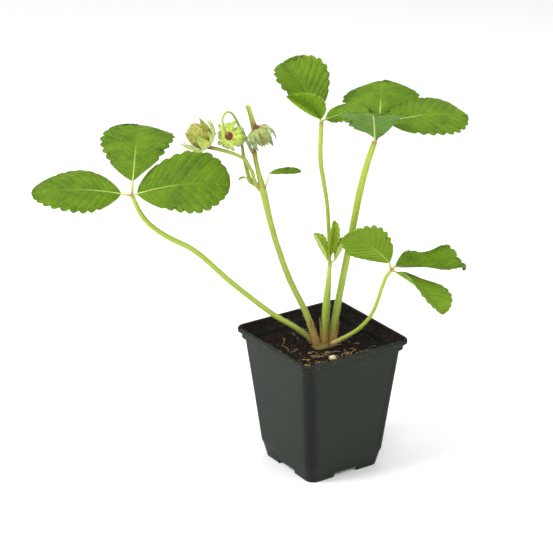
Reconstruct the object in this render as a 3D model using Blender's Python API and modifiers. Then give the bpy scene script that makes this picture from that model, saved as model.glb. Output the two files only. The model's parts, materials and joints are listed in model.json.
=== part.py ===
"""Potted strawberry plant: a square nursery pot, potting mix, five leaves and a fruiting truss.

Lengths are millimetres in the tables below and metres in the meshes. +Z is up and the pot's sides
run along X and Y. The plant is described in its own frame (x right, y back, z up, origin under the
crown), which PLANT_TURN and POT_CENTRE carry into the object's frame.
"""
from math import cos, pi, radians, sin

import bpy
from mathutils import Matrix, Vector

for item in list(bpy.data.objects):
    bpy.data.objects.remove(item, do_unlink=True)

MM = 0.001

# ------------------------------------------------------------------ driving dimensions (mm, degrees)
POT_CENTRE = (44.5, -19.0)  # puts the middle of the whole plant's box over the origin
PLANT_TURN = -34.0  # the plant stands turned in its square pot
POT_HEIGHT = 100.0
RIM_HALF = 45.0  # half the width over the rim
COLLAR_HALF = 43.0  # the band under the rim bead
WALL_TOP_HALF = 41.3
WALL_STEP_HALF = 33.0  # where the wall steps in above the foot
FOOT_HALF = 29.9
WALL = 1.3  # wall thickness
FLOOR_UNDER = 3.5  # height of the notches between the feet
FLOOR_TOP = 6.0
NOTCH_WIDTH = 20.0
DRAIN_RADIUS = 3.0
DRAIN_OFFSET = 17.0
CORNER_STEPS = 5  # segments in each rounded corner
SOIL_GAP = 0.5  # left all round between the soil and the pot
SOIL_LEVEL = 90.8
CROWN_RADIUS = 9.8
CROWN_TOP = 91.2
SOCKET_RADIUS = 10.4  # the hole the crown sits in
LEAF_THICKNESS = 0.6
SEPAL_THICKNESS = 0.7
NECK_HALF = 0.7  # half width of the short stalk under each leaflet
NECK_START = 2.3  # how far a leaflet's stalk starts from the end of its petiole
LEAF_ROWS = 10
STEM_SIDES = 8
STEPS_PER_SPAN = 2  # tube rings laid between two points of a stem's path

parts = bpy.data.collections.new("potted_strawberry_plant")
cutters = bpy.data.collections.new("cutters")
bpy.context.scene.collection.children.link(parts)
bpy.context.scene.collection.children.link(cutters)

PLANT = Matrix.Translation((POT_CENTRE[0], POT_CENTRE[1], 0)) @ Matrix.Rotation(radians(PLANT_TURN), 4, "Z")
POT = Matrix.Translation((POT_CENTRE[0], POT_CENTRE[1], 0))


# ------------------------------------------------------------------ shared shape builders
def material(name, colour, roughness):
    """A plain Principled material in linear colour."""
    made = bpy.data.materials.new(name)
    made.use_nodes = True
    shader = made.node_tree.nodes["Principled BSDF"]
    shader.inputs["Base Color"].default_value = (*colour, 1)
    shader.inputs["Roughness"].default_value = roughness
    return made


def add(name, verts, faces, look, place=PLANT, home=parts):
    """A smooth-shaded object from points in millimetres, placed by `place`."""
    mesh = bpy.data.meshes.new(name)
    mesh.from_pydata([tuple(MM * (place @ Vector(v))) for v in verts], [], faces)
    mesh.polygons.foreach_set("use_smooth", [True] * len(mesh.polygons))
    mesh.update()
    made = bpy.data.objects.new(name, mesh)
    home.objects.link(made)
    if look:
        mesh.materials.append(look)
    return made


def loft(rings):
    """Skin a list of equal rings, closed at both ends by one face each."""
    count = len(rings[0])
    verts = [point for ring in rings for point in ring]
    faces = [tuple(reversed(range(count)))]
    for row in range(len(rings) - 1):
        for k in range(count):
            a, b = row * count + k, row * count + (k + 1) % count
            faces.append((a, b, b + count, a + count))
    faces.append(tuple(range(len(verts) - count, len(verts))))
    return verts, faces


def square_ring(half, corner, height, steps=CORNER_STEPS):
    """A square ring with rounded corners; corner = half gives a circle."""
    ring = []
    for turn in range(4):
        centre = Matrix.Rotation(turn * pi / 2, 3, "Z") @ Vector((half - corner, half - corner, 0))
        for k in range(steps + 1):
            angle = turn * pi / 2 + k / steps * pi / 2
            # a circle would repeat its quadrant points, so the sweep stops just short of them
            angle += (0.5 - k / steps) * 0.06
            ring.append((centre.x + corner * cos(angle), centre.y + corner * sin(angle), height))
    return ring


def smooth_path(points, steps=STEPS_PER_SPAN):
    """Catmull-Rom points through a path of (x, y, z, radius) rows."""
    rows = [Vector(p) for p in points]
    rows = [2 * rows[0] - rows[1], *rows, 2 * rows[-1] - rows[-2]]
    path = []
    for i in range(1, len(rows) - 2):
        before, start, end, after = rows[i - 1 : i + 3]
        for k in range(steps):
            t = k / steps
            path.append(
                0.5
                * (
                    2 * start
                    + (end - before) * t
                    + (2 * before - 5 * start + 4 * end - after) * t * t
                    + (3 * start - before - 3 * end + after) * t**3
                )
            )
    return [*path, rows[-2]]


def tube(name, points, look, sides=STEM_SIDES):
    """A stem with round section along a path of (x, y, z, radius) rows."""
    path = smooth_path(points)
    spots = [Vector(row[:3]) for row in path]
    side = None
    rings = []
    for i, spot in enumerate(spots):
        along = (spots[min(i + 1, len(spots) - 1)] - spots[max(i - 1, 0)]).normalized()
        if side is None:
            side = along.orthogonal()
        side = (side - along * side.dot(along)).normalized()
        other = along.cross(side)
        ring = []
        for k in range(sides):
            angle = 2 * pi * k / sides
            ring.append(spot + path[i][3] * (side * cos(angle) + other * sin(angle)))
        rings.append(ring)
    return add(name, *loft(rings), look)


def solid_sheet(name, rows, look, thickness):
    """A grid of points thickened into a closed sheet."""
    width = len(rows[0])
    verts = [point for row in rows for point in row]
    faces = []
    for i in range(len(rows) - 1):
        for k in range(width - 1):
            a = i * width + k
            faces.append((a, a + 1, a + 1 + width, a + width))
    made = add(name, verts, faces, look)
    thick = made.modifiers.new("thickness", "SOLIDIFY")
    thick.thickness = thickness * MM
    thick.offset = 0
    return made


def outline(t, near, far):
    """Half width of a leaflet along its midrib, 1 at the widest."""
    peak = near / (near + far)
    return (t**near * (1 - t) ** far) / (peak**near * (1 - peak) ** far)


def leaflet(name, junction, base, heading, pitch, roll, length, width, droop, fold, camber, twist=0, near=0.9):
    """A toothed leaflet on its short stalk.

    The midrib leaves `base` towards `heading` at `pitch`, bending down by `droop` degrees over its
    length; each half rises by `fold` from the midrib and curls over by `camber`.
    """
    forward = Vector((cos(radians(heading)), sin(radians(heading)), 0))
    flat_side = forward.cross(Vector((0, 0, 1)))
    spot = Vector(base)
    neck = Vector(junction) + (spot - Vector(junction)).normalized() * NECK_START
    rows = []
    steps = 4
    for i in range(LEAF_ROWS + 1):
        t = i / LEAF_ROWS
        angle = radians(pitch - droop * t)
        along = forward * cos(angle) + Vector((0, 0, sin(angle)))
        flat_up = flat_side.cross(along)
        rolled = radians(roll + twist * t)
        side = flat_side * cos(rolled) + flat_up * sin(rolled)
        up = flat_up * cos(rolled) - flat_side * sin(rolled)
        tooth = 1 if i % 2 or i == LEAF_ROWS else 0.93
        half = max(width / 2 * outline(t, near, 0.5), NECK_HALF if t == 0 else 1.6)
        row = []
        for s in (-1, -0.5, 0, 0.5, 1):
            reach = half * abs(s) * (tooth if abs(s) == 1 else 1)
            across = rise = 0
            for k in range(steps):
                lift = radians(fold - camber * abs(s) * (k + 0.5) / steps)
                across += reach / steps * cos(lift)
                rise += reach / steps * sin(lift)
            row.append(spot + side * (across if s > 0 else -across) + up * rise)
        if i == 0:
            rows.append([neck + (point - spot) for point in row])
        rows.append(row)
        for k in range(steps):
            angle = radians(pitch - droop * (i + (k + 0.5) / steps) / LEAF_ROWS)
            spot = spot + (forward * cos(angle) + Vector((0, 0, sin(angle)))) * length / LEAF_ROWS / steps
    return solid_sheet(name, rows, leaf_green, LEAF_THICKNESS)


def axis_frame(place, axis):
    """Matrix that stands local +Z along `axis` at `place`."""
    turn = Vector((0, 0, 1)).rotation_difference(Vector(axis).normalized())
    return Matrix.Translation(place) @ turn.to_matrix().to_4x4()


def lathe(name, profile, look, frame=Matrix(), sides=12):
    """A closed round body from (radius, height) rows."""
    rings = []
    for radius, height in profile:
        ring = [(radius * cos(2 * pi * k / sides), radius * sin(2 * pi * k / sides), height) for k in range(sides)]
        rings.append([frame @ Vector(point) for point in ring])
    return add(name, *loft(rings), look)


def calyx(name, place, axis, radius, depth, tip, sepals=8):
    """A cup of pointed sepals opening along `axis` from its back at `place`; `tip` below 1 closes it."""
    frame = axis_frame(place, axis)
    points = [(0.3, 0.02), (0.72, 0.18), (0.98, 0.55), (tip, 1.0)]
    notches = [(0.3, 0.02), (0.7, 0.16), (0.93, 0.46), (0.94, 0.52)]
    columns = []
    for k in range(2 * sepals):
        angle = pi * k / sepals
        reach = 1 if k % 4 else 0.88
        profile = notches if k % 2 else points
        column = [Vector((radius * r * cos(angle), radius * r * sin(angle), depth * h * reach)) for r, h in profile]
        columns.append(column)
    verts = [frame @ Vector((0, 0, 0))]
    faces = []
    rings = len(points)
    for column in columns:
        verts.extend(frame @ point for point in column)
    for k in range(2 * sepals):
        a = 1 + k * rings
        b = 1 + (k + 1) % (2 * sepals) * rings
        faces.append((0, a, b))
        for row in range(rings - 1):
            faces.append((a + row, a + row + 1, b + row + 1, b + row))
    made = add(name, verts, faces, sepal_green)
    thick = made.modifiers.new("thickness", "SOLIDIFY")
    thick.thickness = SEPAL_THICKNESS * MM
    thick.offset = 0
    return made


def cut(target, name, verts, faces):
    """Take a hidden cutter out of a piece."""
    tool = add(name, verts, faces, None, POT, cutters)
    tool.hide_render = True
    tool.display_type = "WIRE"
    removal = target.modifiers.new(name, "BOOLEAN")
    removal.operation = "DIFFERENCE"
    removal.solver = "EXACT"
    removal.object = tool


def box_rings(half_x, half_y, low, high):
    """Two rectangular rings for a box about the pot's centre."""
    corners = [(half_x, half_y), (-half_x, half_y), (-half_x, -half_y), (half_x, -half_y)]
    return [[(x, y, low) for x, y in corners], [(x, y, high) for x, y in corners]]


# ------------------------------------------------------------------ materials
pot_plastic = material("pot_plastic", (0.045, 0.055, 0.046), 0.5)
potting_mix = material("potting_mix", (0.022, 0.015, 0.011), 0.95)
perlite_white = material("perlite_white", (0.74, 0.72, 0.66), 0.9)
crown_brown = material("crown_brown", (0.22, 0.12, 0.045), 0.85)
stem_green = material("stem_green", (0.42, 0.52, 0.06), 0.5)
leaf_green = material("leaf_green", (0.11, 0.25, 0.03), 0.5)
sepal_green = material("sepal_green", (0.35, 0.42, 0.08), 0.7)
berry_green = material("berry_green", (0.45, 0.48, 0.12), 0.5)

# ------------------------------------------------------------------ pot
wall_profile = [
    (FOOT_HALF, 6.5, 0.0),
    (WALL_STEP_HALF - 1.0, 6.8, 10.0),
    (WALL_STEP_HALF, 7.0, 13.0),
    (WALL_TOP_HALF, 7.0, 91.5),
    (COLLAR_HALF - 0.2, 6.5, 92.0),
    (COLLAR_HALF, 6.5, 95.8),
    (RIM_HALF - 0.5, 6.0, 96.3),
    (RIM_HALF, 6.0, 98.2),
    (RIM_HALF - 0.4, 6.0, 99.5),
    (RIM_HALF - 1.0, 5.6, POT_HEIGHT),
]
pot = add("pot", *loft([square_ring(*row) for row in wall_profile]), pot_plastic, POT)
inner_profile = [
    (FOOT_HALF - 0.1, 5.5, FLOOR_TOP),
    (WALL_STEP_HALF - WALL - 1.0, 5.6, 10.2),
    (WALL_STEP_HALF - WALL, 5.8, 13.2),
    (WALL_TOP_HALF - WALL, 5.8, 91.3),
    (COLLAR_HALF - WALL, 5.4, 93.5),
    (RIM_HALF - 2.4, 5.0, 98.0),
    (RIM_HALF - 2.4, 5.0, POT_HEIGHT + 5),
]
cut(pot, "cavity", *loft([square_ring(*row) for row in inner_profile]))
under_profile = [(FOOT_HALF - WALL, 5.3, -5.0), (FOOT_HALF - WALL + 0.3, 5.3, FLOOR_UNDER)]
cut(pot, "underside", *loft([square_ring(*row) for row in under_profile]))
cut(pot, "notch_along_x", *loft(box_rings(60, NOTCH_WIDTH / 2, -5, FLOOR_UNDER + 0.02)))
cut(pot, "notch_along_y", *loft(box_rings(NOTCH_WIDTH / 2, 60, -5, FLOOR_UNDER + 0.02)))
for index, (sx, sy) in enumerate(((1, 1), (-1, 1), (-1, -1), (1, -1), (0, 0))):
    drain = []
    for height in (FLOOR_UNDER - 2, FLOOR_TOP + 2):
        ring = [(DRAIN_RADIUS * cos(pi * k / 6), DRAIN_RADIUS * sin(pi * k / 6)) for k in range(12)]
        drain.append([(x + sx * DRAIN_OFFSET, y + sy * DRAIN_OFFSET, height) for x, y in ring])
    cut(pot, f"drain_{index}", *loft(drain))

# ------------------------------------------------------------------ potting mix, perlite and crown
soil_profile = [
    (FOOT_HALF - 0.5, 5.5, FLOOR_TOP + SOIL_GAP),
    (WALL_STEP_HALF - WALL - 1.0 - SOIL_GAP, 5.6, 10.2),
    (WALL_STEP_HALF - WALL - SOIL_GAP, 5.8, 13.2),
    (WALL_TOP_HALF - WALL - SOIL_GAP - 0.2, 5.8, SOIL_LEVEL - 1.5),
    (35.0, 8.0, SOIL_LEVEL),
    (27.0, 14.0, SOIL_LEVEL),
    (17.0, 15.0, SOIL_LEVEL),
    (CROWN_RADIUS + 2.4, CROWN_RADIUS + 2.4, SOIL_LEVEL + 0.2),
    (SOCKET_RADIUS, SOCKET_RADIUS, SOIL_LEVEL + 0.2),
    (SOCKET_RADIUS, SOCKET_RADIUS, SOIL_LEVEL - 11.2),
]
soil_rings = []
for half, corner, height in soil_profile:
    bumpy = 17 <= half <= 36
    ring = []
    for x, y, z in square_ring(half, corner, height):
        ring.append((x, y, z + (0.7 * sin(0.27 * x + 1.1) * cos(0.23 * y - 0.6) if bumpy else 0)))
    soil_rings.append(ring)
soil = add("soil", *loft(soil_rings), potting_mix, POT)

perlite_frame = axis_frame((7.0, -29.5, SOIL_LEVEL + 2.6), (0.3, 0.2, 1))
lathe("perlite", [(1.0, -1.6), (2.6, -0.9), (3.0, 0.3), (2.0, 1.5), (0.8, 1.9)], perlite_white, perlite_frame, 8)

crown_profile = [
    (5.0, SOIL_LEVEL - 10.8),
    (8.4, SOIL_LEVEL - 9.5),
    (CROWN_RADIUS - 0.3, SOIL_LEVEL - 5.0),
    (CROWN_RADIUS, SOIL_LEVEL - 1.0),
    (CROWN_RADIUS - 0.5, CROWN_TOP),
]
lathe("crown", crown_profile, crown_brown, sides=16)

# ------------------------------------------------------------------ stems: rows of x, y, z, radius
STEMS = {
    "petiole_left": [
        (-6.5, 0.5, 93.2, 2.2),
        (-18.5, -2, 104, 2.0),
        (-37, -3, 116.5, 1.9),
        (-63.5, -5, 139.5, 1.9),
        (-88.5, -7, 164, 1.9),
        (-108, -8, 175.5, 1.9),
        (-120, -9, 185, 1.8),
        (-127, -9, 194.5, 1.7),
        (-132, -10, 207, 1.4),
    ],
    "petiole_back": [
        (3.2, 6.2, 91.8, 1.9),
        (3.6, 6.5, 103, 1.6),
        (4.4, 7, 121.5, 1.5),
        (5, 8, 150.5, 1.4),
        (4.5, 9, 169.5, 1.4),
        (3, 9, 193, 1.4),
        (0.5, 9, 210, 1.5),
        (-1.5, 9, 222.5, 1.6),
        (-2, 9, 235, 1.6),
        (-1.5, 9, 254, 1.5),
    ],
    "petiole_right": [
        (6.8, 0.6, 91.8, 2.7),
        (10, 1, 115, 2.5),
        (13, 1, 133.5, 2.4),
        (19, 0, 168.5, 2.4),
        (25, 0, 204, 2.4),
        (30, 0, 226, 2.2),
        (35, 0, 242.5, 1.9),
    ],
    "petiole_low": [
        (6.6, -5.4, 93.2, 1.8),
        (16, -8, 99.5, 1.6),
        (24.5, -10, 106, 1.4),
        (32, -12, 115, 1.3),
        (36.5, -13, 124, 1.3),
        (39, -14, 132, 1.3),
        (41, -15, 140, 1.3),
        (44, -15, 148.5, 1.3),
        (47.5, -15, 153.5, 1.3),
    ],
    "petiole_young": [
        (1.0, -2.4, 91.8, 2.3),
        (2, -4.5, 123, 1.9),
        (3.5, -6, 138.5, 1.6),
        (5, -6, 154.5, 1.4),
    ],
    "flower_stalk": [
        (-3.8, -4.4, 92.3, 2.3),
        (-11.5, -4.6, 116.5, 2.2),
        (-23, -5, 142, 2.2),
        (-31.5, -7, 167.5, 2.1),
        (-37, -8, 188.5, 2.2),
        (-41.5, -10, 210, 2.5),
        (-44.7, -10, 224, 1.7),
        (-46.5, -10, 232, 1.6),
        (-47.5, -10, 239, 1.8),
    ],
    "pedicel_middle": [
        (-50, -9.5, 241, 1.2),
        (-53, -7, 247, 1.1),
        (-56, -6, 253, 1.0),
        (-59, -6.5, 259, 0.9),
        (-61.5, -8, 264.5, 0.8),
        (-64, -11, 268, 0.7),
        (-67, -14.5, 268.5, 0.7),
        (-69, -17.5, 265, 0.7),
        (-68, -20, 260, 0.7),
        (-65.8, -20.8, 255, 0.8),
    ],
    "pedicel_right": [
        (-47.4, -8.0, 241.2, 1.2),
        (-47.8, -5.0, 247, 1.1),
        (-49.4, -5.0, 258.5, 1.1),
        (-51.5, -7, 268, 1.1),
        (-52.5, -8.5, 271.5, 1.1),
        (-51, -10.5, 271, 1.1),
        (-49, -12.5, 265.5, 1.1),
        (-47, -14, 260, 1.1),
    ],
    "pedicel_left": [
        (-47.6, -12.2, 219, 1.3),
        (-48.8, -12.2, 224.5, 1.3),
        (-51, -12.5, 229, 1.3),
        (-54, -14, 235, 1.3),
        (-57, -15.5, 237.5, 1.2),
        (-62.5, -17, 240.5, 1.2),
        (-71, -16.5, 243, 1.3),
        (-77, -15.5, 244, 1.4),
    ],
    "pedicel_bud": [
        (-46.2, -8.2, 213.5, 1.2),
        (-50.5, -7.2, 217, 1.7),
        (-52, -7, 221.5, 1.3),
        (-54, -5.6, 229.5, 1.2),
        (-55.3, -3.6, 235.5, 1.1),
        (-56, -1.6, 240.5, 1.0),
    ],
}
for name, points in STEMS.items():
    tube(name, points, stem_green)

# ------------------------------------------------------------------ leaves, each of three leaflets
LEAVES = {
    # petiole's end: {leaflet: base, heading, pitch, roll, length, width, droop, fold, camber, twist, near}
    "petiole_left": {
        "leaf_left_tip": ((-139.5, -10, 208.5), 187, 14.5, 23, 62, 54, 24, 7, 23, -17.5, 0.75),
        "leaf_left_back": ((-131.5, -7, 216.5), 88, 37, 10.5, 68, 54, 41, 9, 23, -13, 0.9),
        "leaf_left_inner": ((-128.5, -10, 208.5), 2, 18, -39.5, 65, 56, 26, 14, 18.5, 9.5, 0.8),
    },
    "petiole_back": {
        "leaf_back_upright": ((-2.5, 12.6, 257), 146, 62, 6, 46, 54.5, 31, 20, 13, -4, 1.0),
        "leaf_back_front": ((-2, 4.6, 257.5), -146, 53, 81, 36.5, 35, 31, 58, -15, 4, 0.9),
        "leaf_back_right": ((1, 7, 256.8), 2, 25, -3, 31, 33, 30, 6, 10, -4, 0.8),
    },
    "petiole_right": {
        "leaf_right_tip": ((44, -3.4, 258.5), 15, 12, -10, 57, 56, 24, 4, 16, 0, 0.7),
        "leaf_right_front": ((35, -3.5, 246.5), -97, 74, 0, 46, 44, 66, 6, 16, 0, 0.9),
        "leaf_right_back": ((38.5, 7, 254), 86, 34, 2, 50, 58, 32, 3, 30, 0, 0.9),
    },
    "petiole_low": {
        "leaf_low_left": ((46, -14, 158.5), 191, 52, 119, 40, 41, 34, 4, 20, 13, 0.9),
        "leaf_low_back": ((50.5, -14, 156.3), -3, 3, 1, 49, 44, 6, 23, 4, 0, 0.5),
        "leaf_low_right": ((51, -17, 153), -41, -10, 20, 47, 41, 32, 22.5, 11.5, -5, 0.9),
    },
    "petiole_young": {
        "leaf_young_left": ((3.2, -6.5, 158), 160, 55, 0, 21, 14, -10, 50, 5, 0, 0.9),
        "leaf_young_mid": ((5, -3.4, 159), 60, 78, -50, 26, 13, 0, 55, 5, 0, 0.9),
        "leaf_young_right": ((8.3, -5.4, 157.5), 8, 60, 0, 18, 13, 0, 45, 5, 0, 0.9),
    },
}
for stem, leaflets in LEAVES.items():
    end = STEMS[stem][-1][:3]
    for name, shape in leaflets.items():
        leaflet(name, end, *shape)

# ------------------------------------------------------------------ small leaves of the truss and the crown
bract_stalk = (-40.3, -12.4, 212.5)
leaflet("bract_leaf", bract_stalk, (-37, -14, 225), -9, 17, -22, 22, 7.5, 22, 8, 5, 0, 0.7)
leaflet("bract_scale", (-50.5, -8.6, 219.2), (-53, -11, 220.5), -160, 20, 0, 6, 3.4, 60, 20, 5, 0, 0.7)

STIPULES = {
    "stipule_front": ((0.2, -8.0, CROWN_TOP + 0.4), -88),
    "stipule_back": ((-2.8, 7.6, CROWN_TOP + 0.4), 112),
}
for name, (foot, heading) in STIPULES.items():
    outward = Vector((cos(radians(heading)), sin(radians(heading)), 0))
    side = outward.cross(Vector((0, 0, 1)))
    rows = []
    for i, half in enumerate((2.6, 2.5, 2.2, 1.6, 0.6)):
        spot = Vector(foot) + outward * (0.12 * i * i) + Vector((0, 0, 3.2 * i))
        rows.append([spot + side * half * s - outward * 0.35 * half * s * s for s in (-1, 0, 1)])
    solid_sheet(name, rows, crown_brown, 0.6)

# ------------------------------------------------------------------ fruiting heads: sepals round a green berry
HEADS = {
    # back of the calyx, axis, calyx radius and depth, how far the tips close, berry radius
    "left": ((-79.4, -15.3, 245.6), (-0.62, -0.1, 0.78), 10.5, 19.0, 0.72, 5.6),
    "middle": ((-64.8, -18.4, 253.4), (0.2, 0.9, -0.25), 8.6, 10.5, 1.05, 4.2),
    "right": ((-46.0, -14.2, 257.6), (0.48, -0.04, -0.88), 9.0, 14.4, 0.92, 4.8),
}
for side_name, (place, axis, radius, depth, tip, berry) in HEADS.items():
    calyx(f"calyx_{side_name}", place, axis, radius, depth, tip)
    frame = axis_frame(place, axis)
    profile = []
    for angle in (-70, -40, -10, 20, 50, 76):
        profile.append((berry * cos(radians(angle)), 1.15 * berry * (sin(radians(angle)) + 1) + 0.2 * depth))
    lathe(f"berry_{side_name}", profile, berry_green, frame, 10)

bud_frame = axis_frame((-56.2, -1.1, 242.3), (-0.05, 0.15, 1))
bud_profile = [(0.9, 0.0), (2.6, 2.0), (3.1, 5.0), (2.2, 8.0), (0.7, 10.0)]
lathe("flower_bud", bud_profile, sepal_green, bud_frame, 10)
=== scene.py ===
"""Potted strawberry plant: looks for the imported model."""
import json
from math import cos, exp, pi, radians, sin, sqrt

import bmesh
import bpy
import numpy as np
from mathutils import Matrix, Vector, noise

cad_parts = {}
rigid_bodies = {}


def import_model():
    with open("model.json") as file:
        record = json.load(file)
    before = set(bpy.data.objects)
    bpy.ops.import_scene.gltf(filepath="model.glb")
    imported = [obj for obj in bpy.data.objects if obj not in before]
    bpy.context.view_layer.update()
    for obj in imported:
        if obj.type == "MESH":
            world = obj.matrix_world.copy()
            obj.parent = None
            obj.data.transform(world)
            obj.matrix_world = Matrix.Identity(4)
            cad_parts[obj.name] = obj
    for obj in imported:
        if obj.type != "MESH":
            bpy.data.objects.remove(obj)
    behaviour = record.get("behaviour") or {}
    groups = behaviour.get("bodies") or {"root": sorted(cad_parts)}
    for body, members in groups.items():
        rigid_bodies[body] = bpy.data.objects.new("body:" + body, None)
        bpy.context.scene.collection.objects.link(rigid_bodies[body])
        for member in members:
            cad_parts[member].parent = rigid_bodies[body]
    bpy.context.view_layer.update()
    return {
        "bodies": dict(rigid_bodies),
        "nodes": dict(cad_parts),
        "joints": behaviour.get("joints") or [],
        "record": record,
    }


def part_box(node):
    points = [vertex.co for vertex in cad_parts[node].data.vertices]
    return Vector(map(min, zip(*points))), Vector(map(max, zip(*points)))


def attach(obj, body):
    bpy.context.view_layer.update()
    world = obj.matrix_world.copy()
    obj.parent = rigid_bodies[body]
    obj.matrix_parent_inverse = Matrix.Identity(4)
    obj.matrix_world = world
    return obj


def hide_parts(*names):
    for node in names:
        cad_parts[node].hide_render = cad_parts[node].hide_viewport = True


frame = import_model()
MM = 0.001

# ======================================================================== view and room
# The plant is looked at a little from above, from a long way off, with one corner of its pot
# towards the viewer. It stands on a plain white floor among four large soft lamps under a pale sky.
VIEW_TURN = radians(-34)
VIEW_HEIGHT = radians(22.5)
VIEW_DISTANCE = 1.8
LENS = 161.6

pot_low, pot_high = (Vector(corner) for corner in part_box("pot"))
pot_foot = Vector(((pot_low.x + pot_high.x) / 2, (pot_low.y + pot_high.y) / 2, 0))
view_right = Vector((cos(VIEW_TURN), sin(VIEW_TURN), 0))
view_back = Vector((sin(VIEW_TURN) * cos(VIEW_HEIGHT), -cos(VIEW_TURN) * cos(VIEW_HEIGHT), sin(VIEW_HEIGHT)))
view_up = view_back.cross(view_right)
aim = pot_foot + view_right * -0.0324 + view_up * 0.1317

eye = bpy.data.objects.new("camera", bpy.data.cameras.new("camera"))
bpy.context.scene.collection.objects.link(eye)
turn = Matrix((view_right, view_up, view_back)).transposed().to_4x4()
eye.matrix_world = Matrix.Translation(aim + view_back * VIEW_DISTANCE) @ turn
eye.data.lens = LENS
eye.data.sensor_width = 36
eye.data.clip_end = 20
bpy.context.scene.camera = eye
bpy.context.scene.view_settings.view_transform = "Standard"


def hex_colour(code):
    """Linear RGBA from an sRGB hex value such as 'a0c040'."""
    channels = [int(code[k : k + 2], 16) / 255 for k in (0, 2, 4)]
    linear = [c / 12.92 if c <= 0.04045 else ((c + 0.055) / 1.055) ** 2.4 for c in channels]
    return (*linear, 1)


def add_node(tree, kind, values=None, links=None, **settings):
    """One node with its settings, its socket values and the outputs its sockets are fed by."""
    made = tree.nodes.new(kind)
    for key, value in settings.items():
        setattr(made, key, value)
    for key, value in (values or {}).items():
        made.inputs[key].default_value = value
    for key, source in (links or {}).items():
        tree.links.new(source, made.inputs[key])
    return made


def new_finish(name, **sockets):
    """A material with one Principled shader, its constant sockets set; gives material, tree, shader."""
    made = bpy.data.materials.new(name)
    made.use_nodes = True
    shader = made.node_tree.nodes["Principled BSDF"]
    for key, value in sockets.items():
        shader.inputs[key.replace("_", " ")].default_value = value
    return made, made.node_tree, shader


def add_object(name, verts, faces, looks):
    """A mesh object at the origin, smooth shaded, with its materials."""
    mesh = bpy.data.meshes.new(name)
    mesh.from_pydata([tuple(v) for v in verts], [], faces)
    mesh.polygons.foreach_set("use_smooth", [True] * len(mesh.polygons))
    for look in looks:
        mesh.materials.append(look)
    mesh.update()
    made = bpy.data.objects.new(name, mesh)
    bpy.context.scene.collection.objects.link(made)
    return made


floor_paint, _, _ = new_finish("matt_white_floor", Base_Color=hex_colour("f4f4f4"), Roughness=0.9)
floor_corners = [(-6, -6, 0), (6, -6, 0), (6, 6, 0), (-6, 6, 0)]
floor = add_object("floor", floor_corners, [(0, 1, 2, 3)], [floor_paint])

sky = bpy.data.worlds.new("pale_sky")
sky.use_nodes = True
sky.node_tree.nodes["Background"].inputs["Color"].default_value = hex_colour("ffffff")
sky.node_tree.nodes["Background"].inputs["Strength"].default_value = 0.36
bpy.context.scene.world = sky

for lamp_name, offset, size, power in (
    ("key_softbox", view_right * -1.5 + view_back * 0.6 + Vector((0, 0, 1.2)), 0.9, 42),
    ("fill_softbox", view_right * 1.4 + view_back * 0.7 + Vector((0, 0, 0.9)), 1.2, 18),
    ("top_softbox", view_back * -0.3 + Vector((0, 0, 1.7)), 1.4, 15),
    ("front_softbox", view_back * 1.6 + Vector((0, 0, 0.1)), 1.0, 12),
):
    lamp = bpy.data.objects.new(lamp_name, bpy.data.lights.new(lamp_name, "AREA"))
    lamp.data.size = size
    lamp.data.energy = power
    lamp.location = pot_foot + Vector((0, 0, 0.12)) + offset
    lamp.rotation_euler = (-offset).to_track_quat("-Z", "Y").to_euler()
    bpy.context.scene.collection.objects.link(lamp)

# ======================================================================== nursery pot
# A thin square grower's pot, injection moulded in black-green recycled polypropylene. A rolled bead
# and a collar stiffen its rim, and it stands on four corner feet with drain holes in its raised floor.
POT_HEIGHT = 100.0
RIM_HALF = 45.0
COLLAR_HALF = 43.0
WALL_TOP_HALF = 41.3
WALL_STEP_HALF = 33.0
FOOT_HALF = 29.9
WALL = 1.3
FLOOR_UNDER = 3.5
FLOOR_TOP = 6.0
NOTCH_WIDTH = 20.0
POT_CORNER_STEPS = 10


def square_ring(half, corner, height, steps=POT_CORNER_STEPS):
    """A square ring with rounded corners, in metres about the pot's centre."""
    ring = []
    for quarter in range(4):
        for k in range(steps + 1):
            angle = (quarter + k / steps) * pi / 2 + (0.5 - k / steps) * 0.03
            x = (half - corner) * (1 if quarter in (0, 3) else -1) + corner * cos(angle)
            y = (half - corner) * (1 if quarter in (0, 1) else -1) + corner * sin(angle)
            ring.append(pot_foot + Vector((x, y, height)) * MM)
    return ring


def skin(rings):
    """Faces through equal rings, closed at both ends."""
    count = len(rings[0])
    verts = [point for ring in rings for point in ring]
    faces = [tuple(reversed(range(count)))]
    for row in range(len(rings) - 1):
        for k in range(count):
            a, b = row * count + k, row * count + (k + 1) % count
            faces.append((a, b, b + count, a + count))
    faces.append(tuple(range(len(verts) - count, len(verts))))
    return verts, faces


def made_plain(thing):
    """Apply what the modifiers make and drop them."""
    depsgraph = bpy.context.evaluated_depsgraph_get()
    mesh = bpy.data.meshes.new_from_object(thing.evaluated_get(depsgraph))
    thing.modifiers.clear()
    thing.data = mesh
    return thing


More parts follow.
